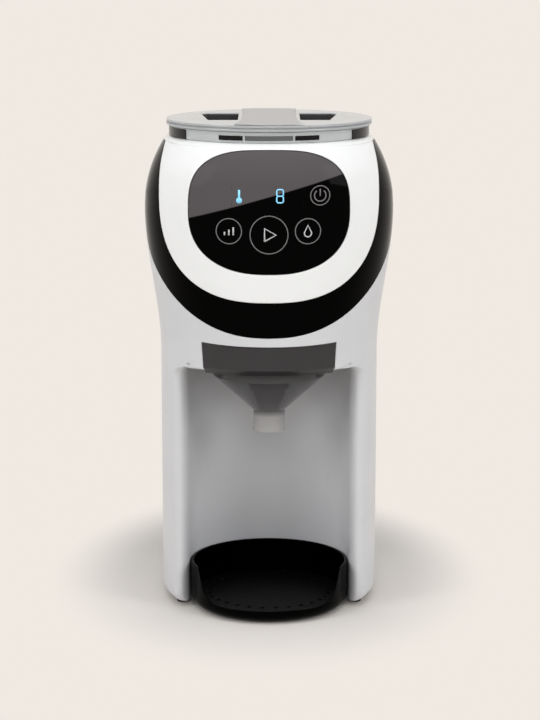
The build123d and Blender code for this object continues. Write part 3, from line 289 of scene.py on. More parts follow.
# One moulded, cast or drawn finish: two close tones in soft patches, gloss that varies with them and
# a fine relief. patchMm and grainMm are the real sizes of both patterns.
def madeFinish(name, toneA, toneB, gloss, patchMm=18.0, grainMm=0.5, reliefMm=0.01, **sockets):
    material = bpy.data.materials.new(name)
    material.use_nodes = True
    tree = material.node_tree
    shader = tree.nodes["Principled BSDF"]
    place = addNode(tree, "ShaderNodeTexCoord").outputs["Object"]
    patches = addNode(tree, "ShaderNodeTexNoise", Vector=place, Scale=1 / (patchMm * mm), Detail=3.0,
                      Roughness=0.5)
    tone = addNode(tree, "ShaderNodeMix", {"data_type": "RGBA"}, Factor=patches.outputs["Fac"],
                   n6=linearOf(toneA), n7=linearOf(toneB))
    sheen = addNode(tree, "ShaderNodeMapRange", Value=patches.outputs["Fac"],
                    To_Min=gloss[0], To_Max=gloss[1])
    tree.links.new(tone.outputs["Result"], shader.inputs["Base Color"])
    tree.links.new(sheen.outputs["Result"], shader.inputs["Roughness"])
    if reliefMm:
        grain = addNode(tree, "ShaderNodeTexNoise", Vector=place, Scale=1 / (grainMm * mm), Detail=2.0)
        relief = addNode(tree, "ShaderNodeBump", Height=grain.outputs["Fac"],
                         Distance=reliefMm * mm, Strength=1.0)
        tree.links.new(relief.outputs["Normal"], shader.inputs["Normal"])
    for key, value in sockets.items():
        shader.inputs[key.replace("_", " ")].default_value = value
    return material


def glossWhiteAbs():  # polished ABS of the bezel and deck: clean white with a soft gloss
    return madeFinish("glossWhiteAbs", "#f1f1f0", "#ededec", (0.16, 0.2), 30, 1.2, 0.004, IOR=1.45)


def satinWhiteAbs():  # spark-textured ABS of the body: light grey white, broad highlights
    return madeFinish("satinWhiteAbs", "#d6d6d8", "#cfcfd1", (0.3, 0.36), 25, 0.6, 0.012, IOR=1.5)


def pianoBlackAbs():  # high-gloss black ABS of the ring: deep black with mirror-like reflections
    return madeFinish("pianoBlackAbs", "#010101", "#000000", (0.05, 0.07), 20, 3.0, 0.0, IOR=1.1)


def satinBlackAbs():  # lightly etched black ABS of the tray
    return madeFinish("satinBlackAbs", "#050404", "#020202", (0.12, 0.17), 12, 0.5, 0.003, IOR=1.3)


def mattBlackAbs():  # coarser etch on the tray's grate, which takes the shine off
    return madeFinish("mattBlackAbs", "#080707", "#050505", (0.4, 0.5), 12, 0.5, 0.01, IOR=1.15)


# Black acrylic glass with a painted reflection: a dark grey sheen painted above a slanting line, black below
# it.
def acrylicPaintedReflection():
    # the grey above the slanting line is a painted reflection; the black is the glass's own colour
    sign = {"grey": "#595556", "black": "#010101", "reflectionEdgeZ": 261.4, "slope": 0.287, "blurMm": 0.35}
    material = madeFinish("acrylicPaintedReflection", sign["grey"], sign["grey"], (0.05, 0.07), 30, 1.0, 0.0, IOR=1.1)
    tree = material.node_tree
    shader = tree.nodes["Principled BSDF"]
    place = addNode(tree, "ShaderNodeTexCoord").outputs["Object"]
    parts = addNode(tree, "ShaderNodeSeparateXYZ", Vector=place)
    rise = addNode(tree, "ShaderNodeMath", {"operation": "MULTIPLY_ADD"}, n0=parts.outputs["X"],
                   n1=-sign["slope"], n2=parts.outputs["Z"])
    edge = addNode(tree, "ShaderNodeMapRange", Value=rise.outputs[0],
                   From_Min=(sign["reflectionEdgeZ"] - sign["blurMm"]) * mm,
                   From_Max=(sign["reflectionEdgeZ"] + sign["blurMm"]) * mm)
    # mixes the painted reflection's grey over the black glass
    tone = addNode(tree, "ShaderNodeMix", {"data_type": "RGBA"}, Factor=edge.outputs["Result"],
                   n6=linearOf(sign["black"]), n7=linearOf(sign["grey"]))
    tree.links.new(tone.outputs["Result"], shader.inputs["Base Color"])
    return material


def greyInk():  # screen-printed ink of the key signs
    return madeFinish("greyInk", "#767474", "#6c6a6a", (0.45, 0.55), 5, 0.2, 0.002)


def whiteInk():  # the brighter key signs
    return madeFinish("whiteInk", "#c9c9c9", "#bdbdbd", (0.45, 0.55), 5, 0.2, 0.002)


def litBlue():  # light-blue display segments, glowing a little
    material = madeFinish("litBlue", "#8fd4f2", "#82cbee", (0.4, 0.5), 4, 0.2, 0.0)
    shader = material.node_tree.nodes["Principled BSDF"]
    shader.inputs["Emission Color"].default_value = linearOf("#7ecdf0")
    shader.inputs["Emission Strength"].default_value = 0.35
    return material


def displayFilm():  # smoked film over the display, a shade apart from the glass
    return madeFinish("displayFilm", "#0b0d0e", "#08090a", (0.2, 0.25), 10, 0.4, 0.0, IOR=1.3)


# Smoke-tinted SAN of the funnel, with painted light and shade by height: painted shade where the drawer's
# front backs on the housing, a shade lighter in the cone, and painted light in the thin nozzle that light
# shines through.
def smokedSanPaintedByHeight():
    # painted light and shade: pale at the nozzle for light shining through, dark at the drawer's front for
    # shade
    paintedLightStops = [(0.0, "#c9c7c6"), (0.16, "#bdbbba"), (0.21, "#7c7a7c"), (0.5, "#6a686a"), (0.7, "#414041"),
             (1.0, "#3e3d3e")]  # share of the height, and the tone there
    material = madeFinish("smokedSanPaintedByHeight", "#ffffff", "#f4f4f4", (0.12, 0.18), 15, 0.8, 0.004, IOR=1.4,
                          Transmission_Weight=0.4)
    tree = material.node_tree
    shader = tree.nodes["Principled BSDF"]
    tone = shader.inputs["Base Color"].links[0].from_socket
    place = addNode(tree, "ShaderNodeTexCoord").outputs["Object"]
    height = addNode(tree, "ShaderNodeSeparateXYZ", Vector=place)
    low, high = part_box("mixing_funnel")
    rise = addNode(tree, "ShaderNodeMapRange", Value=height.outputs["Z"], From_Min=low[2], From_Max=high[2])
    ramp = addNode(tree, "ShaderNodeValToRGB", Fac=rise.outputs["Result"])
    for i, (at, colour) in enumerate(paintedLightStops):
        stop = ramp.color_ramp.elements[i] if i < 2 else ramp.color_ramp.elements.new(at)
        stop.position = at
        stop.color = linearOf(colour)
    tint = addNode(tree, "ShaderNodeMix", {"data_type": "RGBA", "blend_type": "MULTIPLY"}, Factor=1.0,
                   n6=tone, n7=ramp.outputs["Color"])
    tree.links.new(tint.outputs["Result"], shader.inputs["Base Color"])
    return material


def polycarbonatePaintedLit():  # the hopper's rim: the same resin, made lighter and less clear as painted light for the white deck lighting it up
    return madeFinish("polycarbonatePaintedLit", "#f1f3f3", "#e6e9e9", (0.06, 0.1), 20, 1.0, 0.003, IOR=1.4,
                      Transmission_Weight=0.45)


def clearPolycarbonate():  # clear polycarbonate of the tank, lightly etched inside
    return madeFinish("clearPolycarbonate", "#f2f4f4", "#e9ecec", (0.04, 0.08), 20, 1.0, 0.003, IOR=1.45,
                      Transmission_Weight=0.92)


# Clear lid over a satin underside: silvery on top, with painted shade in the two finger cups, darkened where
# little light gets in.
def frostedPolycarbonateShadedCups():
    # the cups' dark tone is painted shade
    shadedCup = {"radius": 50.2, "blurMm": 0.4, "topZ": 301.5, "tone": "#454343"}
    material = madeFinish("frostedPolycarbonateShadedCups", "#cfd1d2", "#c3c6c8", (0.1, 0.16), 20, 1.0, 0.003, IOR=1.4,
                          Transmission_Weight=0.3)
    tree = material.node_tree
    shader = tree.nodes["Principled BSDF"]
    tone = shader.inputs["Base Color"].links[0].from_socket
    place = addNode(tree, "ShaderNodeTexCoord").outputs["Object"]
    fromAxis = addNode(tree, "ShaderNodeVectorMath", {"operation": "MULTIPLY_ADD"}, n0=place,
                       n1=(1.0, 1.0, 0.0), n2=(0.0, -skin["hopperY"] * mm, 0.0))
    away = addNode(tree, "ShaderNodeVectorMath", {"operation": "LENGTH"}, n0=fromAxis.outputs["Vector"])
    inside = addNode(tree, "ShaderNodeMapRange", Value=away.outputs["Value"],
                     From_Min=(shadedCup["radius"] + shadedCup["blurMm"]) * mm,
                     From_Max=(shadedCup["radius"] - shadedCup["blurMm"]) * mm)
    height = addNode(tree, "ShaderNodeSeparateXYZ", Vector=place)
    below = addNode(tree, "ShaderNodeMapRange", Value=height.outputs["Z"], From_Min=shadedCup["topZ"] * mm,
                    From_Max=(shadedCup["topZ"] - shadedCup["blurMm"]) * mm)
    share = addNode(tree, "ShaderNodeMath", {"operation": "MULTIPLY"}, n0=inside.outputs["Result"],
                    n1=below.outputs["Result"])
    paintedShade = addNode(tree, "ShaderNodeMix", {"data_type": "RGBA"}, Factor=share.outputs[0], n6=tone,
                  n7=linearOf(shadedCup["tone"]))
    tree.links.new(paintedShade.outputs["Result"], shader.inputs["Base Color"])
    return material


def silverPaint():  # metallic paint on the grip: fine flakes give a soft silver
    return madeFinish("silverPaint", "#b6b7b9", "#aaabad", (0.3, 0.38), 1.2, 0.15, 0.004, Metallic=0.55)


def greyNylon():  # glass-filled nylon of the inner parts
    return madeFinish("greyNylon", "#5d5d5f", "#525254", (0.5, 0.6), 6, 0.4, 0.02)


def whiteAcetal():  # machined acetal of gears and wheels: waxy white
    return madeFinish("whiteAcetal", "#e9e8e2", "#dfded7", (0.32, 0.4), 8, 0.5, 0.006)


def blackRubber():  # moulded rubber of the feet
    return madeFinish("blackRubber", "#1c1b1b", "#131212", (0.65, 0.8), 5, 0.5, 0.03)


def siliconeHose():  # translucent silicone of seals and hoses
    return madeFinish("siliconeHose", "#d8d6d0", "#cac8c1", (0.35, 0.45), 8, 0.6, 0.008,
                      Transmission_Weight=0.2)


def zincSteel():  # zinc-plated steel of screws and pins
    return madeFinish("zincSteel", "#a9aaab", "#97989a", (0.25, 0.38), 3, 0.2, 0.006, Metallic=1.0)


def sinteredBronze():  # oil-filled bronze bush
    return madeFinish("sinteredBronze", "#9a7442", "#866336", (0.35, 0.5), 2, 0.3, 0.012, Metallic=1.0)


def castAluminium():  # die-cast aluminium of the heater
    return madeFinish("castAluminium", "#a3a5a6", "#8d8f90", (0.42, 0.58), 4, 0.6, 0.03, Metallic=1.0)


def pumpNylon():  # black nylon of the pump
    return madeFinish("pumpNylon", "#26272a", "#1e1f22", (0.45, 0.55), 6, 0.5, 0.015)


def circuitLaminate():  # green solder mask over glass weave
    return madeFinish("circuitLaminate", "#1e5a3a", "#17492f", (0.3, 0.45), 3, 0.4, 0.01)


finishes = {
    "white_shell": satinWhiteAbs(), "black_gloss": pianoBlackAbs(), "black_satin": satinBlackAbs(),
    "panel_glass": acrylicPaintedReflection(), "smoke_clear": smokedSanPaintedByHeight(), "clear": clearPolycarbonate(),
    "silver": silverPaint(), "grey_plastic": greyNylon(), "white_acetal": whiteAcetal(),
    "rubber": blackRubber(), "silicone": siliconeHose(), "steel": zincSteel(), "bronze": sinteredBronze(),
    "cast_aluminium": castAluminium(), "pump_plastic": pumpNylon(), "circuit_board": circuitLaminate(),
}
whiteGloss = glossWhiteAbs()
print("finishes:", len(finishes))


# front shell: columns, brow, bay liner and the bay's ceiling in one skin
# axis of a column's rounded nose, drawn inward by so much, and the turn where it leaves the skin
def noseAxis(inward):
    size = {"z": 100.0, "step": 1e-3, "halvings": 40}
    r = bay["noseRound"]
    low, high = 0.0, 1.0
    for _ in range(size["halvings"]):
        turn = (low + high) / 2
        p, before, after = [Vector(skinPoint(turn + d, size["z"])) for d in (0, -size["step"], size["step"])]
        along = after - before
        normal = Vector((-along.y, along.x, 0)).normalized()
        if normal.x < 0:
            normal = -normal
        centre = p - normal * r
        if centre.x > bay["radius"] + r - inward:
            high = turn
        else:
            low = turn
    return turn, centre, math.atan2(normal.y, normal.x)


def drawerTop(x):  # top edge of the cut-out, higher at its corners
    return bay["drawerTopZ"] + bay["drawerRise"] * min(abs(x) / bay["drawerHalf"], 1.0) ** 2


def drawerEdgeTurn(z):  # side of the cut-out for the funnel's front
    z = min(z, bay["drawerTopZ"])
    share = (bay["drawerTopZ"] - z) / (bay["drawerTopZ"] - bay["ceilingZ"])
    return turnAtX(bay["drawerHalf"] - bay["drawerTaper"] * share, z)


def frontShell():
    size = {"seamToNose": 5, "noseToDrawer": 12, "across": 40, "roundRows": 5, "lowRows": 5, "highRows": 6,
            "columnRows": 10, "cornerRows": 9, "noseSteps": 10, "innerSteps": 12, "bayTurn": 60, "edge": 0.35,
            "roundFade": 0.12, "slotShares": (0.0, 0.15, 0.2, 0.35)}
    ceilingZ, corner, browRound = bay["ceilingZ"], bay["cornerRound"], bay["browRound"]
    topTurn = noseAxis(corner)[0]

    def half(z):  # turns of the columns of points from the seam to the drawer's edge
        return (spread(seamTurn(z), topTurn, size["seamToNose"])[:-1]
                + spread(topTurn, drawerEdgeTurn(z), size["noseToDrawer"]))

    def browPoint(turn, z):  # the brow's lower edge rounds under between the two columns
        u = min(max((ceilingZ + browRound - z) / browRound, 0.0), 1.0)
        fade = stepUp((topTurn - abs(turn)) / size["roundFade"])
        return skinPoint(turn, z, -browRound * (1 - math.sqrt(1 - u * u)) * fade)

    lowZ = [ceilingZ + browRound * (1 - math.cos(a)) for a in spread(0, math.pi / 2, size["roundRows"])]
    lowZ += spread(lowZ[-1], bay["drawerTopZ"], size["lowRows"])[1:]
    heights = [("z", z) for z in lowZ] + [("up", t) for t in spread(0, 1, size["highRows"])[1:]]
    rows = []
    for kind, value in heights:
        z = value if kind == "z" else bay["drawerTopZ"]
        right = half(z)
        turns = [-t for t in right] + spread(-right[-1], right[-1], size["across"])[1:-1] + right[::-1]
        row = []
        for t in turns:
            startZ = drawerTop(skinPoint(t, bay["drawerTopZ"])[0])
            share = (value - ceilingZ) / (bay["drawerTopZ"] - ceilingZ)
            height = between(ceilingZ, startZ, share) if kind == "z" else between(startZ, slantOn(t), value)
            if kind == "up" and abs(abs(t) - right[0]) < 1e-9:
                t = math.copysign(seamTurn(height), t)
                height = between(startZ, slantOn(t), value)
            row.append(browPoint(t, height))
        rows.append(row)
    wide = len(rows[0])
    gap = size["seamToNose"] + size["noseToDrawer"]
    points = [p for row in rows for p in row]
    faces = gridFaces(len(rows), wide, skip=lambda r, c: r < len(lowZ) - 1 and gap <= c < wide - 1 - gap)
    # columns below the ceiling: outer skin, nose, then the bay's round back
    straight = spread(skin["baseZ"] + skin["baseRound"], ceilingZ - corner, size["columnRows"])[1:]
    columns = ([(z, 0.0) for z in baseHeights() + straight]
               + [(ceilingZ - corner * (1 - math.sin(a)), corner * (1 - math.cos(a)))
                  for a in spread(0, math.pi / 2, size["cornerRows"])[1:]])
    r = bay["noseRound"]
    plan = []
    for z, inward in columns:
        noseTurn, noseCentre, noseLean = noseAxis(inward)
        draw = edgeDraw(z)
        right = [skinPoint(t, z)[:2] for t in spread(seamTurn(z), noseTurn, size["seamToNose"])]
        slim = r - draw / 2  # near the base the nose thins from its outer side
        slimX = noseCentre.x - draw / 2 * math.cos(noseLean)
        slimY = noseCentre.y - draw / 2 * math.sin(noseLean)
        right += [(slimX + slim * math.cos(a), slimY + slim * math.sin(a))
                  for a in spread(noseLean, -math.pi / 2, size["noseSteps"])[1:]]
        tipX, tipY = right[-1]
        # its inner side turns in slowly, down to the bay's wall
        right += [(between(tipX, bay["radius"], math.sin(a)), between(tipY, bay["y"], 1 - math.cos(a)))
                  for a in spread(0, math.pi / 2, size["innerSteps"])[1:]]
        back = [(bay["radius"] * math.cos(a), bay["y"] + bay["radius"] * math.sin(a))
                for a in spread(0, math.pi, size["bayTurn"])][1:-1]
        plan.append([(x, y, z) for x, y in right + back] + [(-x, y, z) for x, y in reversed(right)])
    start = len(points)
    points += [p for row in plan for p in row]
    faces += gridFaces(len(plan), len(plan[0]), start)
    # ceiling: from the brow's lower edge and the bay's wall in to the funnel's slot
    outer = [rows[0][i] for i in range(gap, size["seamToNose"] - 1, -1)]
    outer += reversed(plan[-1][len(plan[-1]) // 2:-size["seamToNose"] - 1])
    outer += [(-x, y, z) for x, y, z in reversed(outer)]
    edgeX, slot, shares = abs(outer[0][0]), bay["slotHalf"], size["slotShares"]
    corners = [(-edgeX, outer[0][1]), (-edgeX, bay["slotFrontY"]), (-slot, bay["slotFrontY"]),
               (-slot, bay["y"])]
    inner = []
    count = len(outer) // 2
    for i in range(count):
        t = i / (count - 1)
        leg = sum(t >= share for share in shares[1:])  # 0 to 2 along the slot's front, 3 round its back
        if leg < 3:
            part = (t - shares[leg]) / (shares[leg + 1] - shares[leg])
            p = [between(a, b, part) for a, b in zip(corners[leg], corners[leg + 1])]
        else:
            angle = math.pi - math.pi / 2 * (t - shares[3]) / (1 - shares[3])
            p = [slot * math.cos(angle), bay["y"] + slot * math.sin(angle)]
        inner.append((p[0], p[1], ceilingZ))
    inner += [(-x, y, z) for x, y, z in reversed(inner)]
    start = len(points)
    points += outer + inner
    faces += gridFaces(2, len(outer), start)
    piece = addPiece("frontShell", points, faces, finishes["white_shell"],
                     standsFor=["front_shell"], away=(0, 40, 100))
    thicken(piece, skin["wall"], size["edge"])


# rear shell: sides and rear wall, with its cooling slots
def hoseCut(lowY, highY):  # way in for the hose, through the rear wall and the shelf
    way = {"half": 34, "lowZ": 6.4, "highZ": 25.6}
    return ((-way["half"], lowY, way["lowZ"]), (way["half"], highY, way["highZ"]))


def rearShell():
    size = {"flatRows": 8, "rows": 26, "sideSteps": 16, "sideEndSteps": 5, "cornerSteps": 14, "backSteps": 6,
            "settleSteps": 6, "edge": 0.4}
    places = [("side", t) for t in spread(0, 1, size["sideSteps"])]
    places += [("turn", t) for t in (spread(slantEndTurn, 1.5, size["sideEndSteps"])[1:]
                                     + spread(1.5, 1.75, size["cornerSteps"])[1:]
                                     + spread(1.75, 2.0, size["backSteps"])[1:])]
    lowZ = baseHeights()
    lowZ += spread(lowZ[-1], skin["flareZ"], size["flatRows"])[1:]
    heights = [(z, None) for z in lowZ]  # then shares of the rise from the flare to the upper edge
    heights += [(skin["flareZ"], t) for t in spread(0, 1, size["rows"])[1:]]
    rows = []
    for startZ, up in heights:
        row = []
        for kind, value in places:
            z, turn = startZ, value
            for _ in range(1 if up is None else size["settleSteps"]):
                if kind == "side":
                    turn = between(seamTurn(z), slantEndTurn, value)
                if up is not None:
                    top = slantOn(turn) if turn < slantEndTurn else skin["capZ"]
                    z = between(skin["flareZ"], top, up)
            row.append(skinPoint(turn, z))
        rows.append(row + [(-x, y, z) for x, y, z in reversed(row[:-1])])
    points = [p for row in rows for p in row]
    piece = addPiece("rearShell", points, gridFaces(len(rows), len(rows[0])), finishes["white_shell"],
                     standsFor=["rear_shell"], away=(0, 0, 100))
    thicken(piece, skin["wall"], size["edge"])
    slots = {"x": 36.0, "half": 12.0, "aboveShelf": 12, "pitch": 7.0, "high": 3.0, "rows": 5,
             "in": 8, "out": 4}
    inY, outY = skin["rearY"] - slots["in"], skin["rearY"] + slots["out"]
    boxes = []
    for sign in (-1, 1):
        for i in range(slots["rows"]):
            z = shelfHigh[2] + slots["aboveShelf"] + slots["pitch"] * i
            boxes.append(((sign * slots["x"] - slots["half"], inY, z),
                          (sign * slots["x"] + slots["half"], outY, z + slots["high"])))
    cutAway(piece, boxes + [hoseCut(inY, outY)])


# head ring: gloss band from the brow up to the deck, round the bezel
def shieldHalf(z):
    if z <= shield["midZ"]:
        share = min((shield["midZ"] - z) / (shield["midZ"] - shield["lowZ"]), 1.0)
        return shield["half"] * (1 - share ** shield["power"]) ** (1 / shield["power"])
    t = (z - shield["midZ"]) / (skin["deckZ"] + shield["overDeck"] - shield["midZ"])
    return shield["half"] - shield["lean"] * t * t - shield["lean"] * t ** 3


def shieldPath(count):  # right half of the bezel's outline from its lowest point up to the deck, in x and z
    path = []
    share = 2 / shield["power"]
    for angle in spread(0, math.pi / 2, count):
        z = shield["midZ"] - (shield["midZ"] - shield["lowZ"]) * max(math.cos(angle), 0) ** share
        path.append((shield["half"] * math.sin(angle) ** share, z))
    return path + [(shieldHalf(z), z) for z in spread(shield["midZ"], skin["capZ"], count // 2)[1:]]


def headRing():
    size = {"along": 36, "across": 18, "edge": 0.45, "turnPower": 0.93}
    path = shieldPath(size["along"])
    inner = [(turnAtX(x, z), z) for x, z in path]
    lengths = [0.0]
    for (x0, z0), (x1, z1) in zip(path, path[1:]):
        lengths.append(lengths[-1] + math.hypot(x1 - x0, z1 - z0))
    outer = []
    for length in lengths:
        turn = slantEndTurn * (length / lengths[-1]) ** size["turnPower"]
        outer.append((turn, slantOn(turn)))
    rows = []
    for t in spread(0, 1, size["across"]):
        half = [skinPoint(between(ti, to, t), between(zi, zo, t)) for (ti, zi), (to, zo) in zip(inner, outer)]
        rows.append([(-x, y, z) for x, y, z in reversed(half[1:])] + half)
    points = [p for row in rows for p in row]
    piece = addPiece("headRing", points, gridFaces(len(rows), len(rows[0])), finishes["black_gloss"],
                     standsFor=["head_ring"], away=(0, 0, 240))
    thicken(piece, skin["wall"], size["edge"])


# bezel and glass
def bezelGrow(z):
    fadeZ = glass["midZ"] + glass["highRise"] / 2
    return shield["proud"] * (1 - stepUp((z - fadeZ) / (skin["capZ"] - fadeZ)))


def glassRadius(angle, inset=0.0):
    half = glass["half"] - inset
    c, s = math.cos(angle), math.sin(angle)
    part = "high" if s >= 0 else "low"
    rise, power = glass[part + "Rise"] - inset, glass[part + "Power"]
    return (abs(c / half) ** power + abs(s / rise) ** power) ** (-1 / power)


def shieldRadius(angle):
    size = {"reach": 120.0, "halvings": 40}
    c, s = math.cos(angle), math.sin(angle)
    low, high = 0.0, size["reach"]
    for _ in range(size["halvings"]):
        r = (low + high) / 2
        z = glass["midZ"] + r * s
        inside = shield["lowZ"] < z < skin["capZ"] and abs(r * c) < shieldHalf(z)
        low, high = (r, high) if inside else (low, r)
    return low


def bezelPiece():
    size = {"round": 64, "rows": 12, "edge": 0.9, "edgeShare": 0.35, "edgeSteps": 5, "cornerFade": 5.0,
            "deeper": 0.8}
    deep = skin["wall"] + size["deeper"]
    corner = math.atan2(skin["capZ"] - glass["midZ"], shieldHalf(skin["capZ"]))
    quarter = (spread(-math.pi / 2, corner, size["round"])[:-1]
               + spread(corner, math.pi / 2, size["round"] // 3)[:-1])
    angles = quarter + [math.pi - a for a in ([math.pi / 2] + quarter[::-1])[:-1]]
    turnIn = spread(0, math.pi / 2, size["edgeSteps"])
    columns = []
    for angle in angles:
        inner, outer = glassRadius(angle), shieldRadius(angle)
        inRound = min(size["edge"], size["edgeShare"] * (outer - inner))
        rim = glass["midZ"] + outer * math.sin(angle)
        outRound = inRound * stepUp((skin["capZ"] - rim) / size["cornerFade"])
        section = [(inner, deep)]
        section += [(inner + inRound * (1 - math.cos(a)), inRound * (1 - math.sin(a))) for a in turnIn]
        section += [(r, 0.0) for r in spread(inner + inRound, outer - outRound, size["rows"])[1:]]
        section += [(outer - outRound * (1 - math.cos(a)), outRound * (1 - math.sin(a)))
                    for a in turnIn[::-1][1:]]
        columns.append(section + [(outer, deep)])
    points = []
    for row in zip(*columns):
        for angle, (r, depth) in zip(angles, row):
            x, z = r * math.cos(angle), min(glass["midZ"] + r * math.sin(angle), skin["capZ"])
            points.append(onFront(x, z, bezelGrow(z) - depth))
    count, around = len(columns[0]), len(angles)
    faces = gridFaces(count, around, closed=True)
    faces += [((count - 1) * around + i, (count - 1) * around + (i + 1) % around, (i + 1) % around, i)
              for i in range(around)]
    piece = addPiece("bezelShield", points, faces, whiteGloss, standsFor=["bezel"])
    softenEdges(piece, 0)


def glassPiece():
    size = {"round": 160, "rows": 20, "edge": 0.4, "thick": 2.2}
    points = [onFront(0, glass["midZ"], bezelGrow(glass["midZ"]) - glass["sink"])]
    for j in range(1, size["rows"] + 1):
        for i in range(size["round"]):
            angle = 2 * math.pi * i / size["round"]
            r = glassRadius(angle, glass["gap"]) * j / size["rows"]
            x, z = r * math.cos(angle), glass["midZ"] + r * math.sin(angle)
            points.append(onFront(x, z, bezelGrow(z) - glass["sink"]))
    n = size["round"]
    faces = [(0, 1 + i, 1 + (i + 1) % n) for i in range(n)] + gridFaces(size["rows"], n, 1, closed=True)
    piece = addPiece("touchGlass", points, faces, finishes["panel_glass"],
                     standsFor=["touch_panel"], away=(0, 40, 240))
    thicken(piece, size["thick"], size["edge"])


# deck: from the rounded shoulder in to the hopper's well
def topDeck():
    size = {"frontSteps": 40, "sideSteps": 20, "cornerSteps": 14, "backSteps": 6, "turnRows": 6,
            "flatRows": 6, "hole": 58.6, "thick": 2.0, "edge": 0.15}
    turns = (spread(0, 1, size["frontSteps"])[:-1] + spread(1, 1.5, size["sideSteps"])[:-1]
             + spread(1.5, 1.75, size["cornerSteps"])[:-1] + spread(1.75, 2, size["backSteps"]))
    turns += [-t for t in turns[1:-1]][::-1]
    rows = []
    lift = skin["deckZ"] - skin["capZ"]
    startAngle = math.asin((skin["deckRound"] - lift) / skin["deckRound"])
    for angle in spread(startAngle, math.pi / 2, size["turnRows"]):
        z = skin["deckZ"] - skin["deckRound"] * (1 - math.sin(angle))
        rows.append([skinPoint(t, z) for t in turns])
    edge = rows[-1]
    for j in range(1, size["flatRows"] + 1):
        row = []
        for x, y, z in edge:
            away = math.hypot(x, y - skin["hopperY"])
            share = between(1, size["hole"] / away, j / size["flatRows"])
            row.append((x * share, skin["hopperY"] + (y - skin["hopperY"]) * share, z))
        rows.append(row)
    points = [p for row in rows for p in row]
    piece = addPiece("deckPlate", points, gridFaces(len(rows), len(turns), closed=True), whiteGloss,
                     standsFor=["top_deck"], away=(0, 0, 200))
    thicken(piece, size["thick"], size["edge"], 2, 60)


# shelf behind: carries the tank
def shelfPiece():
    size = {"corner": 26.0, "steps": 14, "backSteps": 10, "frontSteps": 24, "rows": 8, "topRows": 5,
            "seat": 14.1, "seatY": 88.0, "edge": 0.5, "hoseY": (60, 66),
            "gland": ((-28.5, 110, 10.5), (-19.5, 118, 19.5))}
    half, back = shelfHigh[0], shelfHigh[1]
    right = [(half, shelfLow[1]), (half, between(shelfLow[1], back - size["corner"], 0.5))]
    right += [(half - size["corner"] * (1 - math.cos(a)), back - size["corner"] * (1 - math.sin(a)))
              for a in spread(0, math.pi / 2, size["steps"])]
    outline = right + [(x, back) for x in spread(half - size["corner"], 0, size["backSteps"])[1:-1]]
    outline += [(-x, y) for x, y in [(0, back)] + outline[::-1]]
    outline += [(x, shelfLow[1]) for x in spread(-half, half, size["frontSteps"])[1:-1]]
    rows = [[(x, y, z) for x, y in outline] for z in spread(shelfLow[2], shelfHigh[2], size["rows"])]
    seatY = size["seatY"]
    for t in spread(0, 1, size["topRows"])[1:]:
        row = []
        for x, y in outline:
            away = math.hypot(x, y - seatY)
            share = between(1, size["seat"] / away, t)
            row.append((x * share, seatY + (y - seatY) * share, shelfHigh[2]))
        rows.append(row)
    points = [p for row in rows for p in row]
    piece = addPiece("tankShelf", points, gridFaces(len(rows), len(outline), closed=True),
                     finishes["white_shell"], standsFor=["tank_shelf"], away=(0, 90, 10))
    thicken(piece, skin["wall"], size["edge"])
    cutAway(piece, [hoseCut(*size["hoseY"]), size["gland"]])


frontShell()
rearShell()
headRing()
bezelPiece()
glassPiece()
topDeck()
shelfPiece()
print("shells, ring, bezel and glass are in place")


# printed signs on the glass: flat inked strips a twentieth of a millimetre proud
def inkStrips(name, strips, material, lift=0.05, thick=0.1):
    points, faces = [], []
    for path, width, closed in strips:
        count = len(path)
        start = len(points)
        for i, (x, z) in enumerate(path):
            before = path[i - 1] if (closed or i) else path[i]
            after = path[(i + 1) % count] if (closed or i < count - 1) else path[i]
            dx, dz = after[0] - before[0], after[1] - before[1]
            size = math.hypot(dx, dz) or 1.0
            nx, nz = -dz / size * width / 2, dx / size * width / 2
            for sign in (-1, 1):
                px, pz = x + sign * nx, z + sign * nz
                points.append(onFront(px, pz, bezelGrow(pz) - glass["sink"] + lift))
        for i in range(count if closed else count - 1):
            j = (i + 1) % count
            faces.append((start + 2 * i, start + 2 * i + 1, start + 2 * j + 1, start + 2 * j))
    piece = addPiece(name, points, faces, material, away=(0, 40, 240))
    solid = piece.modifiers.new("ink", "SOLIDIFY")
    solid.thickness = thick * mm
    solid.offset = -1


def ringPath(x, z, radius, start=0.0, end=360.0, count=64):
    return [(x + radius * math.cos(math.radians(a)), z + radius * math.sin(math.radians(a)))
            for a in spread(start, end, count)]


def circle(x, z, radius, width):
    return (ringPath(x, z, radius)[:-1], width, True)


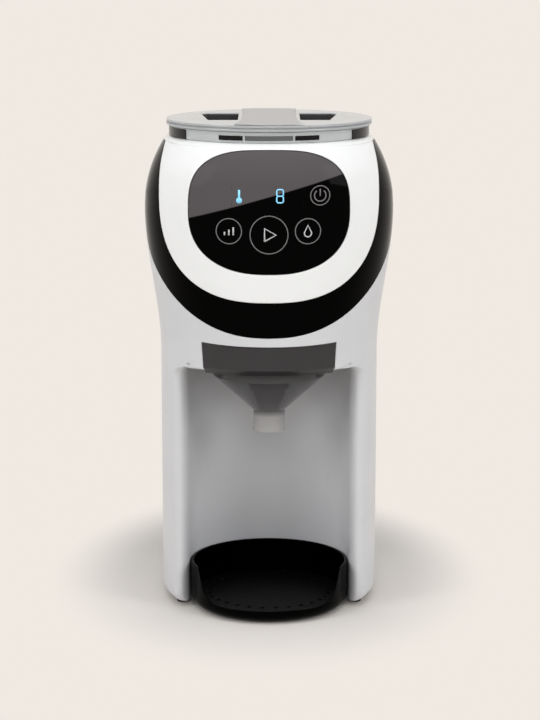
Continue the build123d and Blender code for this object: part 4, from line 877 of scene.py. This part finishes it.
def signs():
    keys = {"left": (-23.7, 241.0, 7.5), "start": (0.0, 239.0, 11.2), "right": (23.0, 241.0, 7.5),
            "power": (30.2, 262.0, 5.7), "line": 0.55}
    power = {"radius": 3.4, "start": 128, "end": 412, "steps": 40, "top": 3.9, "low": -0.4, "bold": 1.25}
    arrow = {"back": -2.6, "tip": 4.2, "half": 3.8, "line": 0.9}
    drop = {"radius": 2.1, "sink": 1.2, "start": 150, "end": 390, "steps": 24, "tip": 3.6, "line": 0.7}
    bars = {"reach": (1.6, 2.8, 4.0), "stretch": 1.2, "pitch": 2.6, "low": 2.4, "line": 0.9}
    stem = {"x": -17.6, "z": 262.0, "low": -2.0, "top": 3.6, "line": 1.3}
    bulb = {"sink": 2.6, "radius": 0.85, "steps": 24, "line": 1.75}
    figure = {"x": 6.5, "z": 262.0, "half": 1.95, "cut": 0.7, "line": 0.75}
    film = {"x": (-22.0, 20.4), "z": (255.8, 267.6), "line": 0.25}
    grey = [circle(*keys[k], keys["line"]) for k in ("left", "start", "right", "power")]
    px, pz = keys["power"][:2]
    bold = keys["line"] * power["bold"]
    grey.append((ringPath(px, pz, power["radius"], power["start"], power["end"], power["steps"]),
                 bold, False))
    grey.append(([(px, pz + power["top"]), (px, pz + power["low"])], bold, False))
    inkStrips("keySigns", grey, greyInk())
    sx, sz = keys["start"][:2]
    backX, half = sx + arrow["back"], arrow["half"]
    white = [([(backX, sz - half), (sx + arrow["tip"], sz), (backX, sz + half), (backX, sz - half)],
              arrow["line"], False)]
    dx, dz = keys["right"][:2]  # a drop for the amount
    outline = [(dx + drop["radius"] * math.cos(a), dz - drop["sink"] + drop["radius"] * math.sin(a))
               for a in spread(math.radians(drop["start"]), math.radians(drop["end"]), drop["steps"])]
    white.append((outline + [(dx, dz + drop["tip"])], drop["line"], True))
    lx, lz = keys["left"][:2]  # three bars for the powder setting
    for i, reach in enumerate(bars["reach"]):
        x, z = lx - bars["pitch"] + bars["pitch"] * i, lz - bars["low"]
        white.append(([(x, z), (x, z + reach * bars["stretch"])], bars["line"], False))
    inkStrips("startSign", white, whiteInk())
    tx, tz = stem["x"], stem["z"]  # a thermometer
    blue = [([(tx, tz + stem["low"]), (tx, tz + stem["top"])], stem["line"], False),
            (ringPath(tx, tz - bulb["sink"], bulb["radius"], 0, 360, bulb["steps"])[:-1], bulb["line"], True)]
    half, cut = figure["half"], figure["cut"]  # the figure, in straight segments with cut corners
    left, right = figure["x"] - half, figure["x"] + half
    for middle in (figure["z"] + half, figure["z"] - half):
        low, high = middle - half, middle + half
        blue.append(([(left, low + cut), (left, high - cut), (left + cut, high), (right - cut, high),
                      (right, high - cut), (right, low + cut), (right - cut, low), (left + cut, low)],
                     figure["line"], True))
    inkStrips("displayFigures", blue, litBlue(), lift=0.08)
    (x0, x1), (z0, z1) = film["x"], film["z"]
    inkStrips("displayFrame", [([(x0, z0), (x1, z0), (x1, z1), (x0, z1)], film["line"], True)], displayFilm(),
              lift=0.03)


signs()
print("signs are printed")


# black arcs round the hopper's rim at the sides and front, a grey arc in the middle
def rimDarkArcs():
    rim = hopperHigh[0]
    size = {"inner": rim - 0.1, "outer": rim + 0.35, "side": (54, 86), "front": (14.6, 29),
            "stop": (-13.4, 13.4), "sideZ": (291.8, 297.5), "frontZ": (293.0, 295.8), "step": 2.0,
            "leastSteps": 4, "edge": 0.15}

    def arcPoints(start, end, lowZ, highZ):
        points = []
        section = [(size["outer"], lowZ), (size["outer"], highZ),
                   (size["inner"], highZ), (size["inner"], lowZ)]
        steps = max(size["leastSteps"], round((end - start) / size["step"]))
        for a in spread(math.radians(start), math.radians(end), steps):
            points += [(r * math.sin(a), skin["hopperY"] - r * math.cos(a), z) for r, z in section]
        return points

    def arcs(name, spans, slotName):
        points, faces = [], []
        for start, end, (lowZ, highZ) in spans:
            first = len(points)
            points += arcPoints(start, end, lowZ, highZ)
            last = len(points) - 4
            faces += gridFaces((len(points) - first) // 4, 4, first, closed=True)
            faces += [tuple(first + i for i in range(4)), tuple(last + i for i in (3, 2, 1, 0))]
        softenEdges(addPiece(name, points, faces, finishes[slotName], body="hopper"), size["edge"])

    blocks = ((size["side"], size["sideZ"]), (size["front"], size["frontZ"]))
    arcs("rimBlackArcs", [(min(s * a, s * b), max(s * a, s * b), z) for s in (-1, 1) for (a, b), z in blocks],
         "black_satin")
    arcs("rimGreyArc", [(*size["stop"], size["frontZ"])], "grey_plastic")


rimDarkArcs()
print("latch ring is in place")


# frame nodes that show as they are: a finish from their slot, and softened edges
def dressNodes():
    soft = {"edge": 0.3, "weldMm": 0.002, "steps": 2, "angle": 35}
    ownEdge = {"drip_tray": 0.5, "mixing_funnel": 0.35, "hopper_lid": 0.45, "lid_grip": 0.5,
               "water_tank": 0.5, "tank_lid": 0.6, "powder_hopper": 0.4, "tank_valve_spring": 0.0,
               "drive_gear": 0.1, "motor_pinion": 0.1}
    ownFinish = {"hopper_lid": frostedPolycarbonateShadedCups, "powder_hopper": polycarbonatePaintedLit,
                 "drip_grate": mattBlackAbs}
    slotOf = {entry["node"]: entry["material_slot"] for entry in frame["record"]["subparts"]}
    for name, node in nodes.items():
        if node.hide_render:
            continue
        node.data.materials.clear()
        node.data.materials.append(ownFinish[name]() if name in ownFinish else finishes[slotOf[name]])
        weld = node.modifiers.new("weld", "WELD")
        weld.merge_threshold = soft["weldMm"] * mm
        softenEdges(node, ownEdge.get(name, soft["edge"]), soft["steps"], soft["angle"])


dressNodes()
print("frame nodes are dressed")


# spring of the tank's valve: the same coils, built as one helix of round wire
def valveSpring():
    size = {"coils": 4, "wire": 0.4, "around": 10, "stepsPerCoil": 28, "travelMm": 3.0, "slack": 0.02}
    low, high = nodeBox("tank_valve_spring")
    middleY = (low[1] + high[1]) / 2
    radius = (high[0] - low[0]) / 2 - size["wire"]
    tall = high[2] - low[2] - 2 * size["wire"]
    points = []
    steps = size["coils"] * size["stepsPerCoil"]
    for i in range(steps + 1):
        turn = 2 * math.pi * size["coils"] * i / steps
        for a in spread(0, 2 * math.pi, size["around"])[:-1]:
            r = radius + size["wire"] * math.cos(a)
            points.append((r * math.cos(turn), middleY + r * math.sin(turn),
                           low[2] + size["wire"] + tall * i / steps + size["wire"] * math.sin(a)))
    n = size["around"]
    faces = gridFaces(steps + 1, n, closed=True)
    faces += [tuple(range(n)), tuple(steps * n + i for i in range(n))[::-1]]
    piece = addPiece("valveSpring", points, faces, finishes["steel"], body="tank",
                     standsFor=["tank_valve_spring"])
    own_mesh(piece)


valveSpring()
print("valve spring is in place")


# studio
def seenRays(tree):  # 1 for rays from the camera, off gloss or through glass, 0 for all other light
    path = addNode(tree, "ShaderNodeLightPath")
    seen = path.outputs["Is Camera Ray"]
    for ray in ("Is Glossy Ray", "Is Transmission Ray"):
        both = addNode(tree, "ShaderNodeMath", {"operation": "MAXIMUM"}, n0=seen, n1=path.outputs[ray])
        seen = both.outputs[0]
    return seen



def studio():
    room = {"floorHalf": 4.0, "backdrop": "#efe9e2", "floor": "#e6e0d9", "fleck": "#e4ded7", "fleckMm": 4,
            "nearHalf": (0.086, 0.128), "fade": (1.0, 1.7), "air": (0.9, 0.95, 1.0, 1.0), "airStrength": 0.38}
    backdrop = linearOf(room["backdrop"])
    world = bpy.data.worlds.new("studioAir")
    scene.world = world
    world.use_nodes = True
    tree = world.node_tree
    tree.nodes.clear()
    ambient = addNode(tree, "ShaderNodeBackground", Color=room["air"], Strength=room["airStrength"])
    pale = addNode(tree, "ShaderNodeBackground", Color=backdrop, Strength=1.0)
    mix = addNode(tree, "ShaderNodeMixShader", n0=seenRays(tree), n1=ambient.outputs[0], n2=pale.outputs[0])
    addNode(tree, "ShaderNodeOutputWorld", Surface=mix.outputs[0])
    # floor: lit near the feet, the backdrop's own colour further out
    mesh = bpy.data.meshes.new("floor")
    half = room["floorHalf"]
    mesh.from_pydata([(-half, -half, 0), (half, -half, 0), (half, half, 0), (-half, half, 0)], [],
                     [(0, 1, 2, 3)])
    floor = bpy.data.objects.new("floor", mesh)
    scene.collection.objects.link(floor)
    material = bpy.data.materials.new("paleSweep")  # matt paper sweep
    material.use_nodes = True
    mesh.materials.append(material)
    tree = material.node_tree
    tree.nodes.clear()
    place = addNode(tree, "ShaderNodeTexCoord").outputs["Object"]
    nearX, nearY = room["nearHalf"]
    inFeet = addNode(tree, "ShaderNodeVectorMath", {"operation": "MULTIPLY"}, n0=place,
                     n1=(1 / nearX, 1 / nearY, 0.0))
    away = addNode(tree, "ShaderNodeVectorMath", {"operation": "LENGTH"}, n0=inFeet.outputs["Vector"])
    far = addNode(tree, "ShaderNodeMapRange", {"interpolation_type": "SMOOTHSTEP"},
                  Value=away.outputs["Value"], From_Min=room["fade"][0], From_Max=room["fade"][1])
    share = addNode(tree, "ShaderNodeMath", {"operation": "MULTIPLY"}, n0=far.outputs["Result"],
                    n1=seenRays(tree))
    fibres = addNode(tree, "ShaderNodeTexNoise", Vector=place, Scale=1 / (room["fleckMm"] * mm), Detail=2.0)
    paperTone = addNode(tree, "ShaderNodeMix", {"data_type": "RGBA"}, Factor=fibres.outputs["Fac"],
                        n6=linearOf(room["floor"]), n7=linearOf(room["fleck"]))
    paper = addNode(tree, "ShaderNodeBsdfDiffuse", Color=paperTone.outputs["Result"])
    glow = addNode(tree, "ShaderNodeEmission", Color=backdrop, Strength=1.0)
    mix = addNode(tree, "ShaderNodeMixShader", n0=share.outputs[0], n1=paper.outputs[0], n2=glow.outputs[0])
    addNode(tree, "ShaderNodeOutputMaterial", Surface=mix.outputs[0])


def addLamp(name, place, aim, size, power, glossy=True):
    lamp = bpy.data.lights.new(name, "AREA")
    lamp.shape = "RECTANGLE"
    lamp.size, lamp.size_y = size
    lamp.energy = power
    holder = bpy.data.objects.new(name, lamp)
    holder.location = place
    holder.rotation_euler = (Vector(aim) - Vector(place)).to_track_quat("-Z", "Y").to_euler()
    holder.visible_glossy = glossy
    scene.collection.objects.link(holder)


def lights():
    lamps = {
        "overhead": {"place": (0.0, -0.25, 1.35), "aim": (0, -0.05, 0.2), "size": (1.3, 1.0), "power": 7.3},
        "leftWindow": {"place": (-1.15, -0.75, 0.75), "aim": (0, 0, 0.18), "size": (0.5, 0.9), "power": 6},
        "rightWindow": {"place": (1.15, -0.75, 0.75), "aim": (0, 0, 0.18), "size": (0.5, 0.9), "power": 6},
        "frontFill": {"place": (0.0, -2.2, 1.1), "aim": (0, 0, 0.2), "size": (1.4, 0.8), "power": 9.5,
                      "glossy": False},
    }
    for name, lamp in lamps.items():
        addLamp(name, **lamp)


def camera():
    view = {"place": (0.0006, -1.425, 0.417), "downDegrees": 10.93, "focalPx": 2241.0,
            "longSidePx": 720.0, "sensorMm": 36.0, "nearM": 0.01}
    lens = bpy.data.cameras.new("camera")
    lens.sensor_width = view["sensorMm"]
    lens.sensor_fit = "AUTO"
    lens.lens = view["focalPx"] / view["longSidePx"] * lens.sensor_width
    lens.clip_start = view["nearM"]
    holder = bpy.data.objects.new("camera", lens)
    holder.location = view["place"]
    holder.rotation_euler = (math.radians(90 - view["downDegrees"]), 0, 0)
    scene.collection.objects.link(holder)
    scene.camera = holder


studio()
lights()
camera()
scene.view_settings.view_transform = "Standard"
print("studio is lit")
